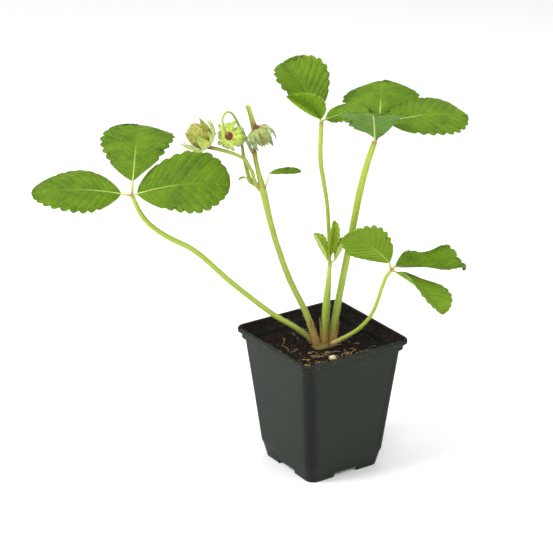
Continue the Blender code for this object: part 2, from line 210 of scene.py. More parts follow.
pot_profile = [
    (FOOT_HALF - 0.3, 6.3, 0.0),
    (FOOT_HALF, 6.5, 0.4),
    (WALL_STEP_HALF - 1.1, 6.8, 9.6),
    (WALL_STEP_HALF - 0.9, 6.8, 10.2),
    (WALL_STEP_HALF - 0.1, 7.0, 12.4),
    (WALL_STEP_HALF + 0.05, 7.0, 13.1),
    (WALL_STEP_HALF + 4.1, 7.0, 52.0),
    (WALL_TOP_HALF, 7.0, 91.2),
    (WALL_TOP_HALF + 0.3, 6.9, 91.6),
    (COLLAR_HALF - 0.35, 6.5, 91.75),
    (COLLAR_HALF, 6.5, 92.2),
    (COLLAR_HALF, 6.5, 95.6),
    (COLLAR_HALF + 0.2, 6.4, 95.9),
    (RIM_HALF - 0.7, 6.0, 96.0),
    (RIM_HALF - 0.1, 6.0, 96.5),
    (RIM_HALF, 6.0, 97.4),
    (RIM_HALF, 6.0, 98.4),
    (RIM_HALF - 0.25, 6.0, 99.3),
    (RIM_HALF - 0.8, 5.8, 99.85),
    (RIM_HALF - 1.3, 5.6, POT_HEIGHT),
]
hollow_profile = [
    (FOOT_HALF - 0.1, 5.5, FLOOR_TOP),
    (WALL_STEP_HALF - WALL - 1.0, 5.6, 10.2),
    (WALL_STEP_HALF - WALL, 5.8, 13.2),
    (WALL_TOP_HALF - WALL, 5.8, 91.3),
    (COLLAR_HALF - WALL, 5.4, 93.5),
    (RIM_HALF - 2.5, 5.0, 97.6),
    (RIM_HALF - 2.2, 5.0, 99.4),
    (RIM_HALF - 1.6, 5.2, POT_HEIGHT + 0.02),
    (RIM_HALF - 1.6, 5.2, POT_HEIGHT + 5),
]
under_profile = [(FOOT_HALF - WALL, 5.3, -5.0), (FOOT_HALF - WALL + 0.3, 5.3, FLOOR_UNDER)]


def box_rings(half_x, half_y, low, high):
    """Two rectangular rings of a cutting block about the pot's centre."""
    corners = [(half_x, half_y), (-half_x, half_y), (-half_x, -half_y), (half_x, -half_y)]
    return [[pot_foot + Vector((x, y, z)) * MM for x, y in corners] for z in (low, high)]


pot_shell = add_object("nursery_pot", *skin([square_ring(*row) for row in pot_profile]), [])
blocks = [
    [square_ring(*row) for row in hollow_profile],
    [square_ring(*row) for row in under_profile],
    box_rings(60, NOTCH_WIDTH / 2, -5, FLOOR_UNDER + 0.02),
    box_rings(NOTCH_WIDTH / 2, 60, -5, FLOOR_UNDER + 0.02),
]
for drain_x, drain_y in ((17, 17), (-17, 17), (-17, -17), (17, -17), (0, 0)):
    circle = [(3 * cos(pi * k / 12) + drain_x, 3 * sin(pi * k / 12) + drain_y) for k in range(24)]
    blocks.append([[pot_foot + Vector((x, y, z)) * MM for x, y in circle] for z in (1.5, 8)])
for block in blocks:
    cutter = add_object("cutter", *skin(block), [])
    removal = pot_shell.modifiers.new("cut", "BOOLEAN")
    removal.operation = "DIFFERENCE"
    removal.solver = "EXACT"
    removal.object = cutter
    made_plain(pot_shell)
    bpy.data.objects.remove(cutter, do_unlink=True)
pot_shell.data.polygons.foreach_set("use_smooth", [True] * len(pot_shell.data.polygons))
pot_shell.data.set_sharp_from_angle(angle=radians(28))


def object_place(tree):
    """The socket that says where on its piece a point lies."""
    return add_node(tree, "ShaderNodeTexCoord").outputs["Object"]


def noise_level(tree, place, scale, detail=2.0, roughness=0.5):
    """Soft noise from 0 to 1 at a place."""
    values = {"Scale": scale, "Detail": detail, "Roughness": roughness}
    return add_node(tree, "ShaderNodeTexNoise", values, {"Vector": place}).outputs["Fac"]


def stretched(tree, place, scale):
    """Places scaled unevenly, so that what is drawn on them runs long one way."""
    return add_node(tree, "ShaderNodeMapping", {"Scale": scale}, {"Vector": place}).outputs[0]


def colour_between(tree, share, first, second):
    """A colour between two, each a hex value or a socket."""
    values, links = {}, {0: share}
    for key, colour in ((6, first), (7, second)):
        if isinstance(colour, str):
            values[key] = hex_colour(colour)
        else:
            links[key] = colour
    return add_node(tree, "ShaderNodeMix", values, links, data_type="RGBA").outputs[2]


def colour_ramp(tree, level, *stops):
    """Colours that follow a level through stops of position and hex value."""
    made = add_node(tree, "ShaderNodeValToRGB", links={0: level})
    elements = made.color_ramp.elements
    elements[0].position, elements[1].position = stops[0][0], stops[-1][0]
    for position, _ in stops[1:-1]:
        elements.new(position)
    for element, (_, code) in zip(elements, stops):
        element.color = hex_colour(code)
    return made.outputs["Color"]


def ranged(tree, source, low, high, first=0.0, last=1.0, **settings):
    """A level moved from the range low..high to first..last."""
    values = {1: low, 2: high, 3: first, 4: last}
    return add_node(tree, "ShaderNodeMapRange", values, {0: source}, **settings).outputs[0]


def calculated(tree, operation, *terms):
    """One sum on numbers and sockets."""
    values = {key: term for key, term in enumerate(terms) if isinstance(term, float)}
    links = {key: term for key, term in enumerate(terms) if key not in values}
    return add_node(tree, "ShaderNodeMath", values, links, operation=operation).outputs[0]


def roughen(tree, shader, height, strength, distance, over=None, **settings):
    """Fine relief on a finish, up to a distance in metres, laid over an earlier relief if there is one."""
    links = {"Height": height, "Normal": over} if over else {"Height": height}
    made = add_node(tree, "ShaderNodeBump", {"Strength": strength, "Distance": distance}, links, **settings)
    tree.links.new(made.outputs["Normal"], shader.inputs["Normal"])
    return made.outputs["Normal"]


def two_tones(tree, shader, scale, detail, dark, light):
    """Colour a finish in two tones by soft noise over its piece."""
    level = noise_level(tree, object_place(tree), scale, detail)
    tree.links.new(colour_between(tree, level, dark, light), shader.inputs["Base Color"])


# Recycled polypropylene, moulded against a lightly blasted tool: dark green-black, low gloss, with a
# fine orange-peel grain, long faint scuffs from stacking and a film of dried peat under the rim.
pot_plastic, tree, shader = new_finish("recycled_polypropylene", IOR=1.49, Specular_IOR_Level=0.15)
place = object_place(tree)
cloud = noise_level(tree, place, 28, 5, 0.6)
body_tone = colour_between(tree, cloud, "171d17", "222921")
stretch = stretched(tree, place, (90, 90, 520))
scuff = noise_level(tree, stretch, 1.0, 4, 0.7)
scuff_edge = ranged(tree, scuff, 0.66, 0.8)
scuffed = colour_between(tree, scuff_edge, body_tone, "454b43")
height = add_node(tree, "ShaderNodeSeparateXYZ", links={0: place}).outputs["Z"]
peat_band = ranged(tree, height, 0.082, 0.1)
peat_spots = noise_level(tree, place, 900, 3)
peat_spots = ranged(tree, peat_spots, 0.56, 0.7)
peat = calculated(tree, "MULTIPLY", peat_band, peat_spots)
# Painted shade: the four rounded upright corners are coloured darker than the sides, so they look nearly
# black.
centred = add_node(tree, "ShaderNodeMapping", {"Location": (-pot_foot.x, -pot_foot.y, 0)}, {"Vector": place})
across = add_node(tree, "ShaderNodeVectorMath", links={0: centred.outputs[0]}, operation="ABSOLUTE")
across = add_node(tree, "ShaderNodeSeparateXYZ", links={0: across.outputs[0]})
from_corner = calculated(tree, "SUBTRACT", across.outputs[0], across.outputs[1])
from_corner = calculated(tree, "ABSOLUTE", from_corner)
corner = ranged(tree, from_corner, 0.011, 0.003, 0.0, 0.75, interpolation_type="SMOOTHSTEP")
# painted shade: the corners are mixed towards near black
corner_painted_shade = colour_between(tree, corner, scuffed, "0b0e0b")
coloured = colour_between(tree, peat, corner_painted_shade, "4c4438")
tree.links.new(coloured, shader.inputs["Base Color"])
gloss = ranged(tree, cloud, 0.0, 1.0, 0.42, 0.62)
tree.links.new(gloss, shader.inputs["Roughness"])
grain = noise_level(tree, place, 1600, 2)
relief = roughen(tree, shader, grain, 0.12, 0.0003)
wave = noise_level(tree, place, 22, 1)
roughen(tree, shader, wave, 0.2, 0.004, over=relief)
pot_shell.data.materials.append(pot_plastic)

# The same plastic inside, above the mix, painted brown-black in blotches: painted shade in the hollow under
# the rim.
inner_wall_painted_shade, tree, shader = new_finish("polypropylene_with_painted_shade", Roughness=0.85,
                                           Specular_IOR_Level=0.2)
place = object_place(tree)
shade_blotches = noise_level(tree, place, 420, 5, 0.7)
tones = colour_ramp(tree, shade_blotches, (0.4, "0b0a08"), (0.75, "33281c"))
tree.links.new(tones, shader.inputs["Base Color"])
roughen(tree, shader, shade_blotches, 0.6, 0.0005)
pot_shell.data.materials.append(inner_wall_painted_shade)
# The inner faces above the mix take the painted shade.
for face in pot_shell.data.polygons:
    outwards = face.center - pot_foot
    if 0.08 < outwards.z < 0.0995 and outwards.x * face.normal.x + outwards.y * face.normal.y < 0:
        face.material_index = 1
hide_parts("pot")
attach(pot_shell, "root")

# ======================================================================== potting mix
# Dark peat and composted bark, pressed in loosely to about 9 mm under the rim. Its top is crumbly,
# with coir fibres lying about and a few specks of grit.
SOIL_LEVEL = 90.8
SOIL_GAP = 0.5
SOIL_CORNER_STEPS = 24
SOIL_RINGS = 34


def soil_height(x, y):
    """Level of the mix in mm at a point in mm about the pot's centre."""
    point = Vector((x, y, 0))
    finer = noise.noise(point / 5.5 + Vector((7, 3, 1)))
    level = SOIL_LEVEL - 0.5 + 1.5 * noise.noise(point / 14) + 0.9 * finer
    level += 0.5 * noise.noise(point / 2.2) + 1.0 * exp(-((sqrt(x * x + y * y) - 11) / 5) ** 2)
    edge = max(abs(x), abs(y)) / (WALL_TOP_HALF - WALL)
    return min(level - 1.4 * edge**8, SOIL_LEVEL + 1.6)


soil_sides = [
    (FOOT_HALF - 0.5, 5.5, FLOOR_TOP + SOIL_GAP),
    (WALL_STEP_HALF - WALL - 1.0 - SOIL_GAP, 5.6, 10.2),
    (WALL_STEP_HALF - WALL - SOIL_GAP, 5.8, 13.2),
    (WALL_TOP_HALF - WALL - SOIL_GAP - 0.35, 5.8, 86.5),
]
soil_rings = [square_ring(*row, SOIL_CORNER_STEPS) for row in soil_sides]
for k in range(SOIL_RINGS):
    share = 1 - k / SOIL_RINGS
    half = (WALL_TOP_HALF - WALL - SOIL_GAP - 0.3) * share
    ring = square_ring(half, min(half, 5.8 + 22 * (1 - share)), 0, SOIL_CORNER_STEPS)
    for point in ring:
        point.z = soil_height((point.x - pot_foot.x) / MM, (point.y - pot_foot.y) / MM) * MM
    soil_rings.append(ring)
potting_mix = add_object("potting_mix", *skin(soil_rings), [])

# Damp peat: almost black, dead matt, with browner bark crumbs; the grain is 0.5 to 4 mm.
peat_finish, tree, shader = new_finish("damp_peat", Roughness=0.95, Specular_IOR_Level=0.2)
place = object_place(tree)
patch = noise_level(tree, place, 260, 6, 0.75)
tones = colour_ramp(tree, patch, (0.35, "080605"), (0.52, "110d0a"), (0.68, "20180f"))
tree.links.new(tones, shader.inputs["Base Color"])
grit = noise_level(tree, place, 900, 5, 0.7)
roughen(tree, shader, grit, 1.0, 0.0012)
potting_mix.data.materials.append(peat_finish)
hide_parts("soil")
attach(potting_mix, "root")


def new_tree(name, sizes):
    """A geometry node tree with one geometry in, named sizes, and one geometry out."""
    made = bpy.data.node_groups.new(name, "GeometryNodeTree")
    made.interface.new_socket("Geometry", in_out="INPUT", socket_type="NodeSocketGeometry")
    for label, (kind, value) in sizes.items():
        socket = made.interface.new_socket(label, in_out="INPUT", socket_type=kind)
        socket.default_value = value
    made.interface.new_socket("Geometry", in_out="OUTPUT", socket_type="NodeSocketGeometry")
    return made, made.nodes.new("NodeGroupInput"), made.nodes.new("NodeGroupOutput")


def grown(name, base, tree, wanted=None, **sizes):
    """What a node tree grows on a piece, or on the faces of it that are wanted, as its own plain mesh."""
    made = bpy.data.objects.new(name, base.data.copy())
    bpy.context.scene.collection.objects.link(made)
    if wanted:
        shape = bmesh.new()
        shape.from_mesh(made.data)
        unwanted = [face for face in shape.faces if not wanted(face.calc_center_median())]
        bmesh.ops.delete(shape, geom=unwanted, context="FACES")
        shape.to_mesh(made.data)
        shape.free()
    modifier = made.modifiers.new("grow", "NODES")
    modifier.node_group = tree
    for item in tree.interface.items_tree:
        if item.item_type == "SOCKET" and item.in_out == "INPUT" and item.name in sizes:
            modifier[item.identifier] = sizes[item.name]
    return made_plain(made)


def spots_on_top(tree, start):
    """Points scattered over the faces that look up."""
    normal = add_node(tree, "GeometryNodeInputNormal").outputs[0]
    facing = add_node(tree, "ShaderNodeSeparateXYZ", links={0: normal}).outputs["Z"]
    upward = add_node(tree, "FunctionNodeCompare", {1: 0.5}, {0: facing}, operation="GREATER_THAN")
    return add_node(tree, "GeometryNodeDistributePointsOnFaces", links={
        "Mesh": start.outputs["Geometry"], "Selection": upward.outputs[0], "Density": start.outputs["Number"],
        "Seed": start.outputs["Seed"]})


# Crumbs: a lumpy ball, roughened by noise, is scattered over the top and turned every way.
bark_finish, tree, shader = new_finish("bark_crumb", Roughness=0.9, Specular_IOR_Level=0.25)
place = object_place(tree)
patch = noise_level(tree, place, 330, 3)
tones = colour_ramp(tree, patch, (0.38, "0a0806"), (0.72, "2a1e13"))
tree.links.new(tones, shader.inputs["Base Color"])
grit = noise_level(tree, place, 1500, 3)
roughen(tree, shader, grit, 0.8, 0.0006)

crumbs, start, end = new_tree("crumbs", {
    "Number": ("NodeSocketFloat", 150000.0),
    "Smallest": ("NodeSocketFloat", 0.3),
    "Largest": ("NodeSocketFloat", 1.5),
    "Seed": ("NodeSocketInt", 4),
    "Finish": ("NodeSocketMaterial", bark_finish),
})
spots = spots_on_top(crumbs, start)
lump = add_node(crumbs, "GeometryNodeMeshIcoSphere", {"Radius": 0.001, "Subdivisions": 2})
lump_noise = add_node(crumbs, "ShaderNodeTexNoise", {"Scale": 900, "Detail": 1})
lump_push = add_node(crumbs, "ShaderNodeVectorMath", {1: (0.5, 0.5, 0.5)}, {0: lump_noise.outputs["Color"]},
                     operation="SUBTRACT")
lump_push = add_node(crumbs, "ShaderNodeVectorMath", {3: 0.0022}, {0: lump_push.outputs[0]},
                     operation="SCALE")
lump = add_node(crumbs, "GeometryNodeSetPosition", links={0: lump.outputs[0], "Offset": lump_push.outputs[0]})
tumble = add_node(crumbs, "FunctionNodeRandomValue", {1: (6.3, 6.3, 6.3)}, {"Seed": start.outputs["Seed"]},
                  data_type="FLOAT_VECTOR")
scale = add_node(crumbs, "FunctionNodeRandomValue",
                 links={2: start.outputs["Smallest"], 3: start.outputs["Largest"]}, data_type="FLOAT")
laid = add_node(crumbs, "GeometryNodeInstanceOnPoints", links={
    "Points": spots.outputs["Points"], "Instance": lump.outputs[0], "Rotation": tumble.outputs[0],
    "Scale": scale.outputs[1]})
real = add_node(crumbs, "GeometryNodeRealizeInstances", links={0: laid.outputs[0]})
dressed = add_node(crumbs, "GeometryNodeSetMaterial",
                   links={0: real.outputs[0], "Material": start.outputs["Finish"]})
crumbs.links.new(dressed.outputs[0], end.inputs[0])


def open_bed(margin):
    """A test for points on the mix at least `margin` mm in from the pot's wall and off the crown."""
    reach = (WALL_TOP_HALF - WALL - margin) * MM

    def inside(point):
        x, y = point.x - pot_foot.x, point.y - pot_foot.y
        return max(abs(x), abs(y)) < reach and sqrt(x * x + y * y) > 0.008 and point.z > 0.085

    return inside


bark_crumbs = grown("bark_crumbs", potting_mix, crumbs, open_bed(3.0), Number=230000.0)
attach(bark_crumbs, "root")

# Coir: tan fibres 4 to 12 mm long and a few tenths thick, bent by a field of noise.
coir_finish, tree, shader = new_finish("coir_fibre", Roughness=0.8, Specular_IOR_Level=0.3)
two_tones(tree, shader, 160, 2, "5a4029", "c09a68")

fibres, start, end = new_tree("fibres", {
    "Number": ("NodeSocketFloat", 20000.0),
    "Length": ("NodeSocketFloat", 0.009),
    "Thickness": ("NodeSocketFloat", 0.00016),
    "Seed": ("NodeSocketInt", 9),
    "Finish": ("NodeSocketMaterial", coir_finish),
})
spots = spots_on_top(fibres, start)
reach = add_node(fibres, "ShaderNodeCombineXYZ", links={0: start.outputs["Length"]})
strand = add_node(fibres, "GeometryNodeCurvePrimitiveLine", links={"End": reach.outputs[0]})
strand = add_node(fibres, "GeometryNodeResampleCurve", {"Count": 12}, {0: strand.outputs[0]})
heading = add_node(fibres, "FunctionNodeRandomValue", {0: (-0.12, -0.12, 0), 1: (0.12, 0.12, 6.3)},
                   {"Seed": start.outputs["Seed"]}, data_type="FLOAT_VECTOR")
size = add_node(fibres, "FunctionNodeRandomValue", {2: 0.4, 3: 1.3}, data_type="FLOAT")
laid = add_node(fibres, "GeometryNodeInstanceOnPoints", links={
    "Points": spots.outputs["Points"], "Instance": strand.outputs[0], "Rotation": heading.outputs[0],
    "Scale": size.outputs[1]})
real = add_node(fibres, "GeometryNodeRealizeInstances", links={0: laid.outputs[0]})
bend = add_node(fibres, "ShaderNodeTexNoise", {"Scale": 130, "Detail": 1})
bend = add_node(fibres, "ShaderNodeVectorMath", {1: (0.5, 0.5, 0.38)}, {0: bend.outputs["Color"]},
                operation="SUBTRACT")
bend = add_node(fibres, "ShaderNodeVectorMath", {1: (0.014, 0.014, 0.006)}, {0: bend.outputs[0]},
                operation="MULTIPLY")
bent = add_node(fibres, "GeometryNodeSetPosition", links={0: real.outputs[0], "Offset": bend.outputs[0]})
section = add_node(fibres, "GeometryNodeCurvePrimitiveCircle", {"Resolution": 5},
                   {"Radius": start.outputs["Thickness"]})
solid = add_node(fibres, "GeometryNodeCurveToMesh", {"Fill Caps": True},
                 {0: bent.outputs[0], 1: section.outputs[0]})
dressed = add_node(fibres, "GeometryNodeSetMaterial",
                   links={0: solid.outputs[0], "Material": start.outputs["Finish"]})
fibres.links.new(dressed.outputs[0], end.inputs[0])

coir_fibres = grown("coir_fibres", potting_mix, fibres, open_bed(12.0), Number=9000.0)
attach(coir_fibres, "root")


def front_bed(point):
    """A test for points of the open mix in the corner of the pot that is turned to the viewer."""
    towards = (point.x - pot_foot.x) * sin(VIEW_TURN) - (point.y - pot_foot.y) * cos(VIEW_TURN)
    return open_bed(5.0)(point) and towards > 0.017


# Straw-coloured chaff and pale sand, washed into the front corner by the watering.
chaff_finish, tree, shader = new_finish("straw_chaff", Roughness=0.8, Specular_IOR_Level=0.3)
two_tones(tree, shader, 260, 2, "5a4322", "c4a263")
chaff = grown("straw_chaff", potting_mix, fibres, front_bed, Number=130000.0, Length=0.0032, Seed=31,
              Finish=chaff_finish)
sand = grown("pale_sand", potting_mix, crumbs, front_bed, Number=90000.0, Smallest=0.15, Largest=0.55,
             Seed=12, Finish=chaff_finish)
for piece in (chaff, sand):
    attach(piece, "root")

# ======================================================================== grain of perlite
# One grain of expanded volcanic glass lies on the mix: a chalky white lump, full of pits, from the
# compost it was mixed into.
grain_low, grain_high = (Vector(corner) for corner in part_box("perlite"))
grain_middle = (grain_low + grain_high) / 2
grain_shape = bmesh.new()
bmesh.ops.create_icosphere(grain_shape, subdivisions=5, radius=1)
for vert in grain_shape.verts:
    dents = max(0, noise.noise(vert.co * 5 + Vector((3, 1, 4))))
    lumpy = 1 + 0.22 * noise.noise(vert.co * 1.6) - 0.16 * dents
    half = (grain_high - grain_low) / 2
    shaped = Vector([0.92 * a * b * lumpy for a, b in zip(vert.co, half)])
    vert.co = grain_middle + shaped - Vector((0, 0, 0.0004))
grain_mesh = bpy.data.meshes.new("perlite_grain")
grain_shape.to_mesh(grain_mesh)
grain_shape.free()
grain_mesh.polygons.foreach_set("use_smooth", [True] * len(grain_mesh.polygons))
perlite_grain = bpy.data.objects.new("perlite_grain", grain_mesh)
bpy.context.scene.collection.objects.link(perlite_grain)

# Expanded perlite: dull chalk white with a foam of closed cells about 0.4 mm across; the pits of the cells
# are painted darker as shade.
perlite_finish, tree, shader = new_finish("expanded_perlite", Roughness=0.9, Base_Color=hex_colour("e9e5da"),
                                          Subsurface_Weight=0.2, Subsurface_Scale=0.001)
place = object_place(tree)
cells = add_node(tree, "ShaderNodeTexVoronoi", {"Scale": 2400}, {"Vector": place})
roughen(tree, shader, cells.outputs["Distance"], 0.7, 0.0003)
# Painted shade: each cell is darker towards its sunken middle, where the bump sinks.
pit_painted_shade = colour_between(tree, cells.outputs["Distance"], "a39470", "dccfa8")
tree.links.new(pit_painted_shade, shader.inputs["Base Color"])
grain_mesh.materials.append(perlite_finish)
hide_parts("perlite")
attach(perlite_grain, "root")

# ======================================================================== crown
# The short woody stem at the middle of the plant, where every stalk starts: a knuckle of old leaf
# bases, brown and fibrous, just showing at the surface of the mix.
PLANT_TURN = radians(-34)
PLANT = Matrix.Translation(pot_foot) @ Matrix.Rotation(PLANT_TURN, 4, "Z") @ Matrix.Scale(MM, 4)

CROWN_SIDES = 48
CROWN_PROFILE = [(4.8, 80.4), (8.2, 81.6), (9.3, 86.0), (9.5, 89.6), (9.2, 90.8), (8.4, 92.0), (7.2, 93.0),
                 (5.6, 93.7), (3.4, 94.1), (1.2, 94.2)]  # radius and level in mm
crown_rings = []
for k, (radius, level) in enumerate(CROWN_PROFILE):
    ring = []
    for step in range(CROWN_SIDES):
        angle = 2 * pi * step / CROWN_SIDES
        around = Vector((cos(angle), sin(angle), k * 0.5))
        knuckle = 1 + 0.06 * sin(6 * angle + 0.4 * k) + 0.05 * noise.noise(around * 3)
        spot = Vector((radius * knuckle * cos(angle), radius * knuckle * sin(angle), level))
        ring.append(PLANT @ spot)
    crown_rings.append(ring)
crown_knuckle = add_object("crown_knuckle", *skin(crown_rings), [])

# Old leaf bases: dry brown fibre in rings, matt, split into fine strings along their length.
crown_finish, tree, shader = new_finish("fibrous_crown", Roughness=0.85, Specular_IOR_Level=0.3)
place = object_place(tree)
strings = stretched(tree, place, (1500, 1500, 260))
string_noise = noise_level(tree, strings, 1.0, 4)
tone = colour_between(tree, string_noise, "3b2a14", "857a36")
tree.links.new(tone, shader.inputs["Base Color"])
roughen(tree, shader, string_noise, 0.8, 0.0006)
crown_knuckle.data.materials.append(crown_finish)
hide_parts("crown")
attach(crown_knuckle, "root")

# ======================================================================== leaf stalks
# Five living stalks spring from the crown, each carrying one leaf. They are juicy, a little grooved
# on the upper side, thick and brownish where they leave the crown, and bright yellow-green above.
STALK_SIDES = 20
STALK_STEPS = 8
LEAF_STALKS = {
    # points along the middle of each stalk in the plant's frame: x, y, z, radius in mm
    "petiole_left": [
        (-6.5, 0.5, 93.2, 2.2), (-18.5, -2, 104, 2.0), (-37, -3, 116.5, 1.9), (-63.5, -5, 139.5, 1.9),
        (-88.5, -7, 164, 1.9), (-108, -8, 175.5, 1.9), (-120, -9, 185, 1.8), (-127, -9, 194.5, 1.7),
        (-132, -10, 207, 1.4),
    ],
    "petiole_back": [
        (3.2, 6.2, 91.8, 1.9), (3.6, 6.5, 103, 1.6), (4.4, 7, 121.5, 1.5), (5, 8, 150.5, 1.4),
        (4.5, 9, 169.5, 1.4), (3, 9, 193, 1.4), (0.5, 9, 210, 1.5), (-1.5, 9, 222.5, 1.6),
        (-2, 9, 235, 1.6), (-1.5, 9, 254, 1.5),
    ],
    "petiole_right": [
        (6.8, 0.6, 91.8, 2.7), (10, 1, 115, 2.5), (13, 1, 133.5, 2.4), (19, 0, 168.5, 2.4), (25, 0, 204, 2.4),
        (30, 0, 226, 2.2), (35, 0, 242.5, 1.9),
    ],
    "petiole_low": [
        (6.6, -5.4, 93.2, 1.8), (16, -8, 99.5, 1.6), (24.5, -10, 106, 1.4), (32, -12, 115, 1.3),
        (36.5, -13, 124, 1.3), (39, -14, 132, 1.3), (41, -15, 140, 1.3), (44, -15, 148.5, 1.3),
        (47.5, -15, 153.5, 1.3),
    ],
    "petiole_young": [
        (1.0, -2.4, 91.8, 2.3), (2, -4.5, 123, 1.9), (3.5, -6, 138.5, 1.6), (5, -6, 154.5, 1.4),
    ],
}


def carry(piece, name, values):
    """Store one number for each point of a piece, for its finish to read."""
    piece.data.attributes.new(name, "FLOAT", "POINT").data.foreach_set("value", values)


def carried(tree, name):
    """The number that a piece's points carry under a name."""
    return add_node(tree, "ShaderNodeAttribute", attribute_name=name).outputs["Fac"]


def smooth_path(rows, steps):
    """Catmull-Rom points through a stalk's (x, y, z, radius) rows."""
    rows = [Vector(row) for row in rows]
    rows = [2 * rows[0] - rows[1], *rows, 2 * rows[-1] - rows[-2]]
    path = []
    for i in range(1, len(rows) - 2):
        before, start, end, after = rows[i - 1 : i + 3]
        for k in range(steps):
            t = k / steps
            bend = 2 * start + (end - before) * t + (2 * before - 5 * start + 4 * end - after) * t * t
            path.append(0.5 * (bend + (3 * start - before - 3 * end + after) * t**3))
    return [*path, rows[-2]]


def stalk_frames(rows, steps=STALK_STEPS):
    """Along a stalk: middle point, direction, two sideways directions, radius and share of its length."""
    path = smooth_path(rows, steps)
    spots = [Vector(row[:3]) for row in path]
    side = None
    frames = []
    for i, spot in enumerate(spots):
        along = (spots[min(i + 1, len(spots) - 1)] - spots[max(i - 1, 0)]).normalized()
        side = along.orthogonal() if side is None else side
        side = (side - along * side.dot(along)).normalized()
        frames.append((spot, along, side, along.cross(side), path[i][3], i / (len(spots) - 1)))
    return frames


def stalk_piece(name, rows, look, groove=0.0, bumps=0.03, sides=STALK_SIDES):
    """A closed stalk with rounded ends; its points carry how far along it they are."""
    frames = stalk_frames(rows)
    first, last = frames[0], frames[-1]
    rings, shares = [], []
    ends = [(first[0] - first[1] * first[4] * a, *first[1:4], first[4] * b, 0)
            for a, b in ((0.5, 0.3), (0.38, 0.75))]
    tips = [(last[0] + last[1] * last[4] * a, *last[1:4], last[4] * b, 1)
            for a, b in ((0.38, 0.75), (0.5, 0.3))]
    for spot, along, side, other, radius, share in [*ends, *frames, *tips]:
        ring = []
        for k in range(sides):
            angle = 2 * pi * k / sides
            swell = 1 - groove * max(0, cos(angle)) ** 6
            swell += bumps * noise.noise(spot / 6 + Vector((cos(angle), sin(angle), 0)))
            out = side * cos(angle) + other * sin(angle)
            ring.append(PLANT @ (spot + out * radius * swell))
            shares.append(share)
        rings.append(ring)
    made = add_object(name, *skin(rings), [look])
    carry(made, "along", shares)
    return made


# Fresh stalk: smooth wet-looking skin over pale flesh, so it glows a little at its edges. It is brown
# and pinkish at the crown, yellow-green above, and red-brown in the joint where the leaflets start.
stalk_finish, tree, shader = new_finish("fresh_stalk", Roughness=0.42, IOR=1.42, Subsurface_Weight=0.25,
                                        Subsurface_Scale=0.002, Sheen_Weight=0.12, Sheen_Roughness=0.4,
                                        Sheen_Tint=hex_colour("eef6c8"))
along = carried(tree, "along")
place = object_place(tree)
tones = colour_ramp(tree, along, (0.0, "8d6a40"), (0.03, "a98b55"), (0.09, "989f42"), (0.3, "8fa631"),
                    (0.9, "9db23a"), (0.975, "a5ae44"), (1.0, "9c8a3c"))
mottle = noise_level(tree, place, 240, 3)
patch = ranged(tree, mottle, 0.45, 0.8, 0.0, 0.6)
mottled = colour_between(tree, patch, tones, "7f9f28")
tree.links.new(mottled, shader.inputs["Base Color"])
ribs = stretched(tree, place, (2600, 2600, 120))
rib_noise = noise_level(tree, ribs, 1.0, 2)
roughen(tree, shader, rib_noise, 0.25, 0.0002)

hairy_pieces = []
for node, rows in LEAF_STALKS.items():
    stalk = stalk_piece(node.replace("petiole", "leaf_stalk"), rows, stalk_finish, groove=0.14)
    hairy_pieces.append(stalk)
    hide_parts(node)
    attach(stalk, "root")

# ======================================================================== stipules
# Papery brown wings that sheathe the foot of each stalk. Each is a thin pointed shell grown to its
# stalk, dried and curling away from it at the tip.
STIPULE_THICKNESS = 0.22
FLOWER_STALK_FOOT = [(-3.8, -4.4, 92.3, 2.3), (-11.5, -4.6, 116.5, 2.2), (-23, -5, 142, 2.2)]
STIPULES = [
    # stalk, turn about it, how far up it reaches, how wide it wraps
    ("petiole_left", 150, 9, 70), ("petiole_back", 20, 14, 100), ("petiole_back", 140, 20, 90),
    ("petiole_back", 260, 16, 90), ("petiole_right", 30, 17, 95), ("petiole_right", 150, 17, 85),
    ("petiole_right", 270, 20, 90), ("petiole_low", 200, 9, 70), ("petiole_young", 40, 19, 80),
    ("petiole_young", 160, 24, 85), ("petiole_young", 280, 15, 90), ("flower_stalk", 20, 20, 90),
    ("flower_stalk", 130, 14, 80), ("flower_stalk", 250, 24, 95),
]
stipule_verts, stipule_faces, stipule_shares = [], [], []
for stem, turned, reach, wrap in STIPULES:
    path = stalk_frames(LEAF_STALKS.get(stem, FLOWER_STALK_FOOT), 14)
    travelled = 0
    first = len(stipule_verts)
    columns = 13
    rows = 0
    for k, (spot, along, side, other, radius, _) in enumerate(path):
        travelled += (spot - path[k - 1][0]).length if k else 0
        t = travelled / reach
        if t > 1:
            break
        spread = radians(wrap) / 2 * max(0.03, 1 - t**1.5)
        flare = radius + 0.5 + 1.6 * t**2.5
        for c in range(columns):
            angle = radians(turned) + spread * (2 * c / (columns - 1) - 1)
            out = side * cos(angle) + other * sin(angle)
            uneven = noise.noise(Vector((angle * 2, t * 5, turned)))
            ruffle = 0.18 * sin(5 * angle + 9 * t) * t + 0.25 * uneven
            stipule_verts.append(PLANT @ (spot - along * 1.2 + out * (flare + ruffle)))
            stipule_shares.append(t)
        rows += 1
    for i in range(rows - 1):
        for c in range(columns - 1):
            a = first + i * columns + c
            stipule_faces.append((a, a + 1, a + 1 + columns, a + columns))
stipules = add_object("papery_stipules", stipule_verts, stipule_faces, [])
carry(stipules, "along", stipule_shares)
wall = stipules.modifiers.new("wall", "SOLIDIFY")
wall.thickness = STIPULE_THICKNESS * MM
wall.offset = 0
made_plain(stipules)

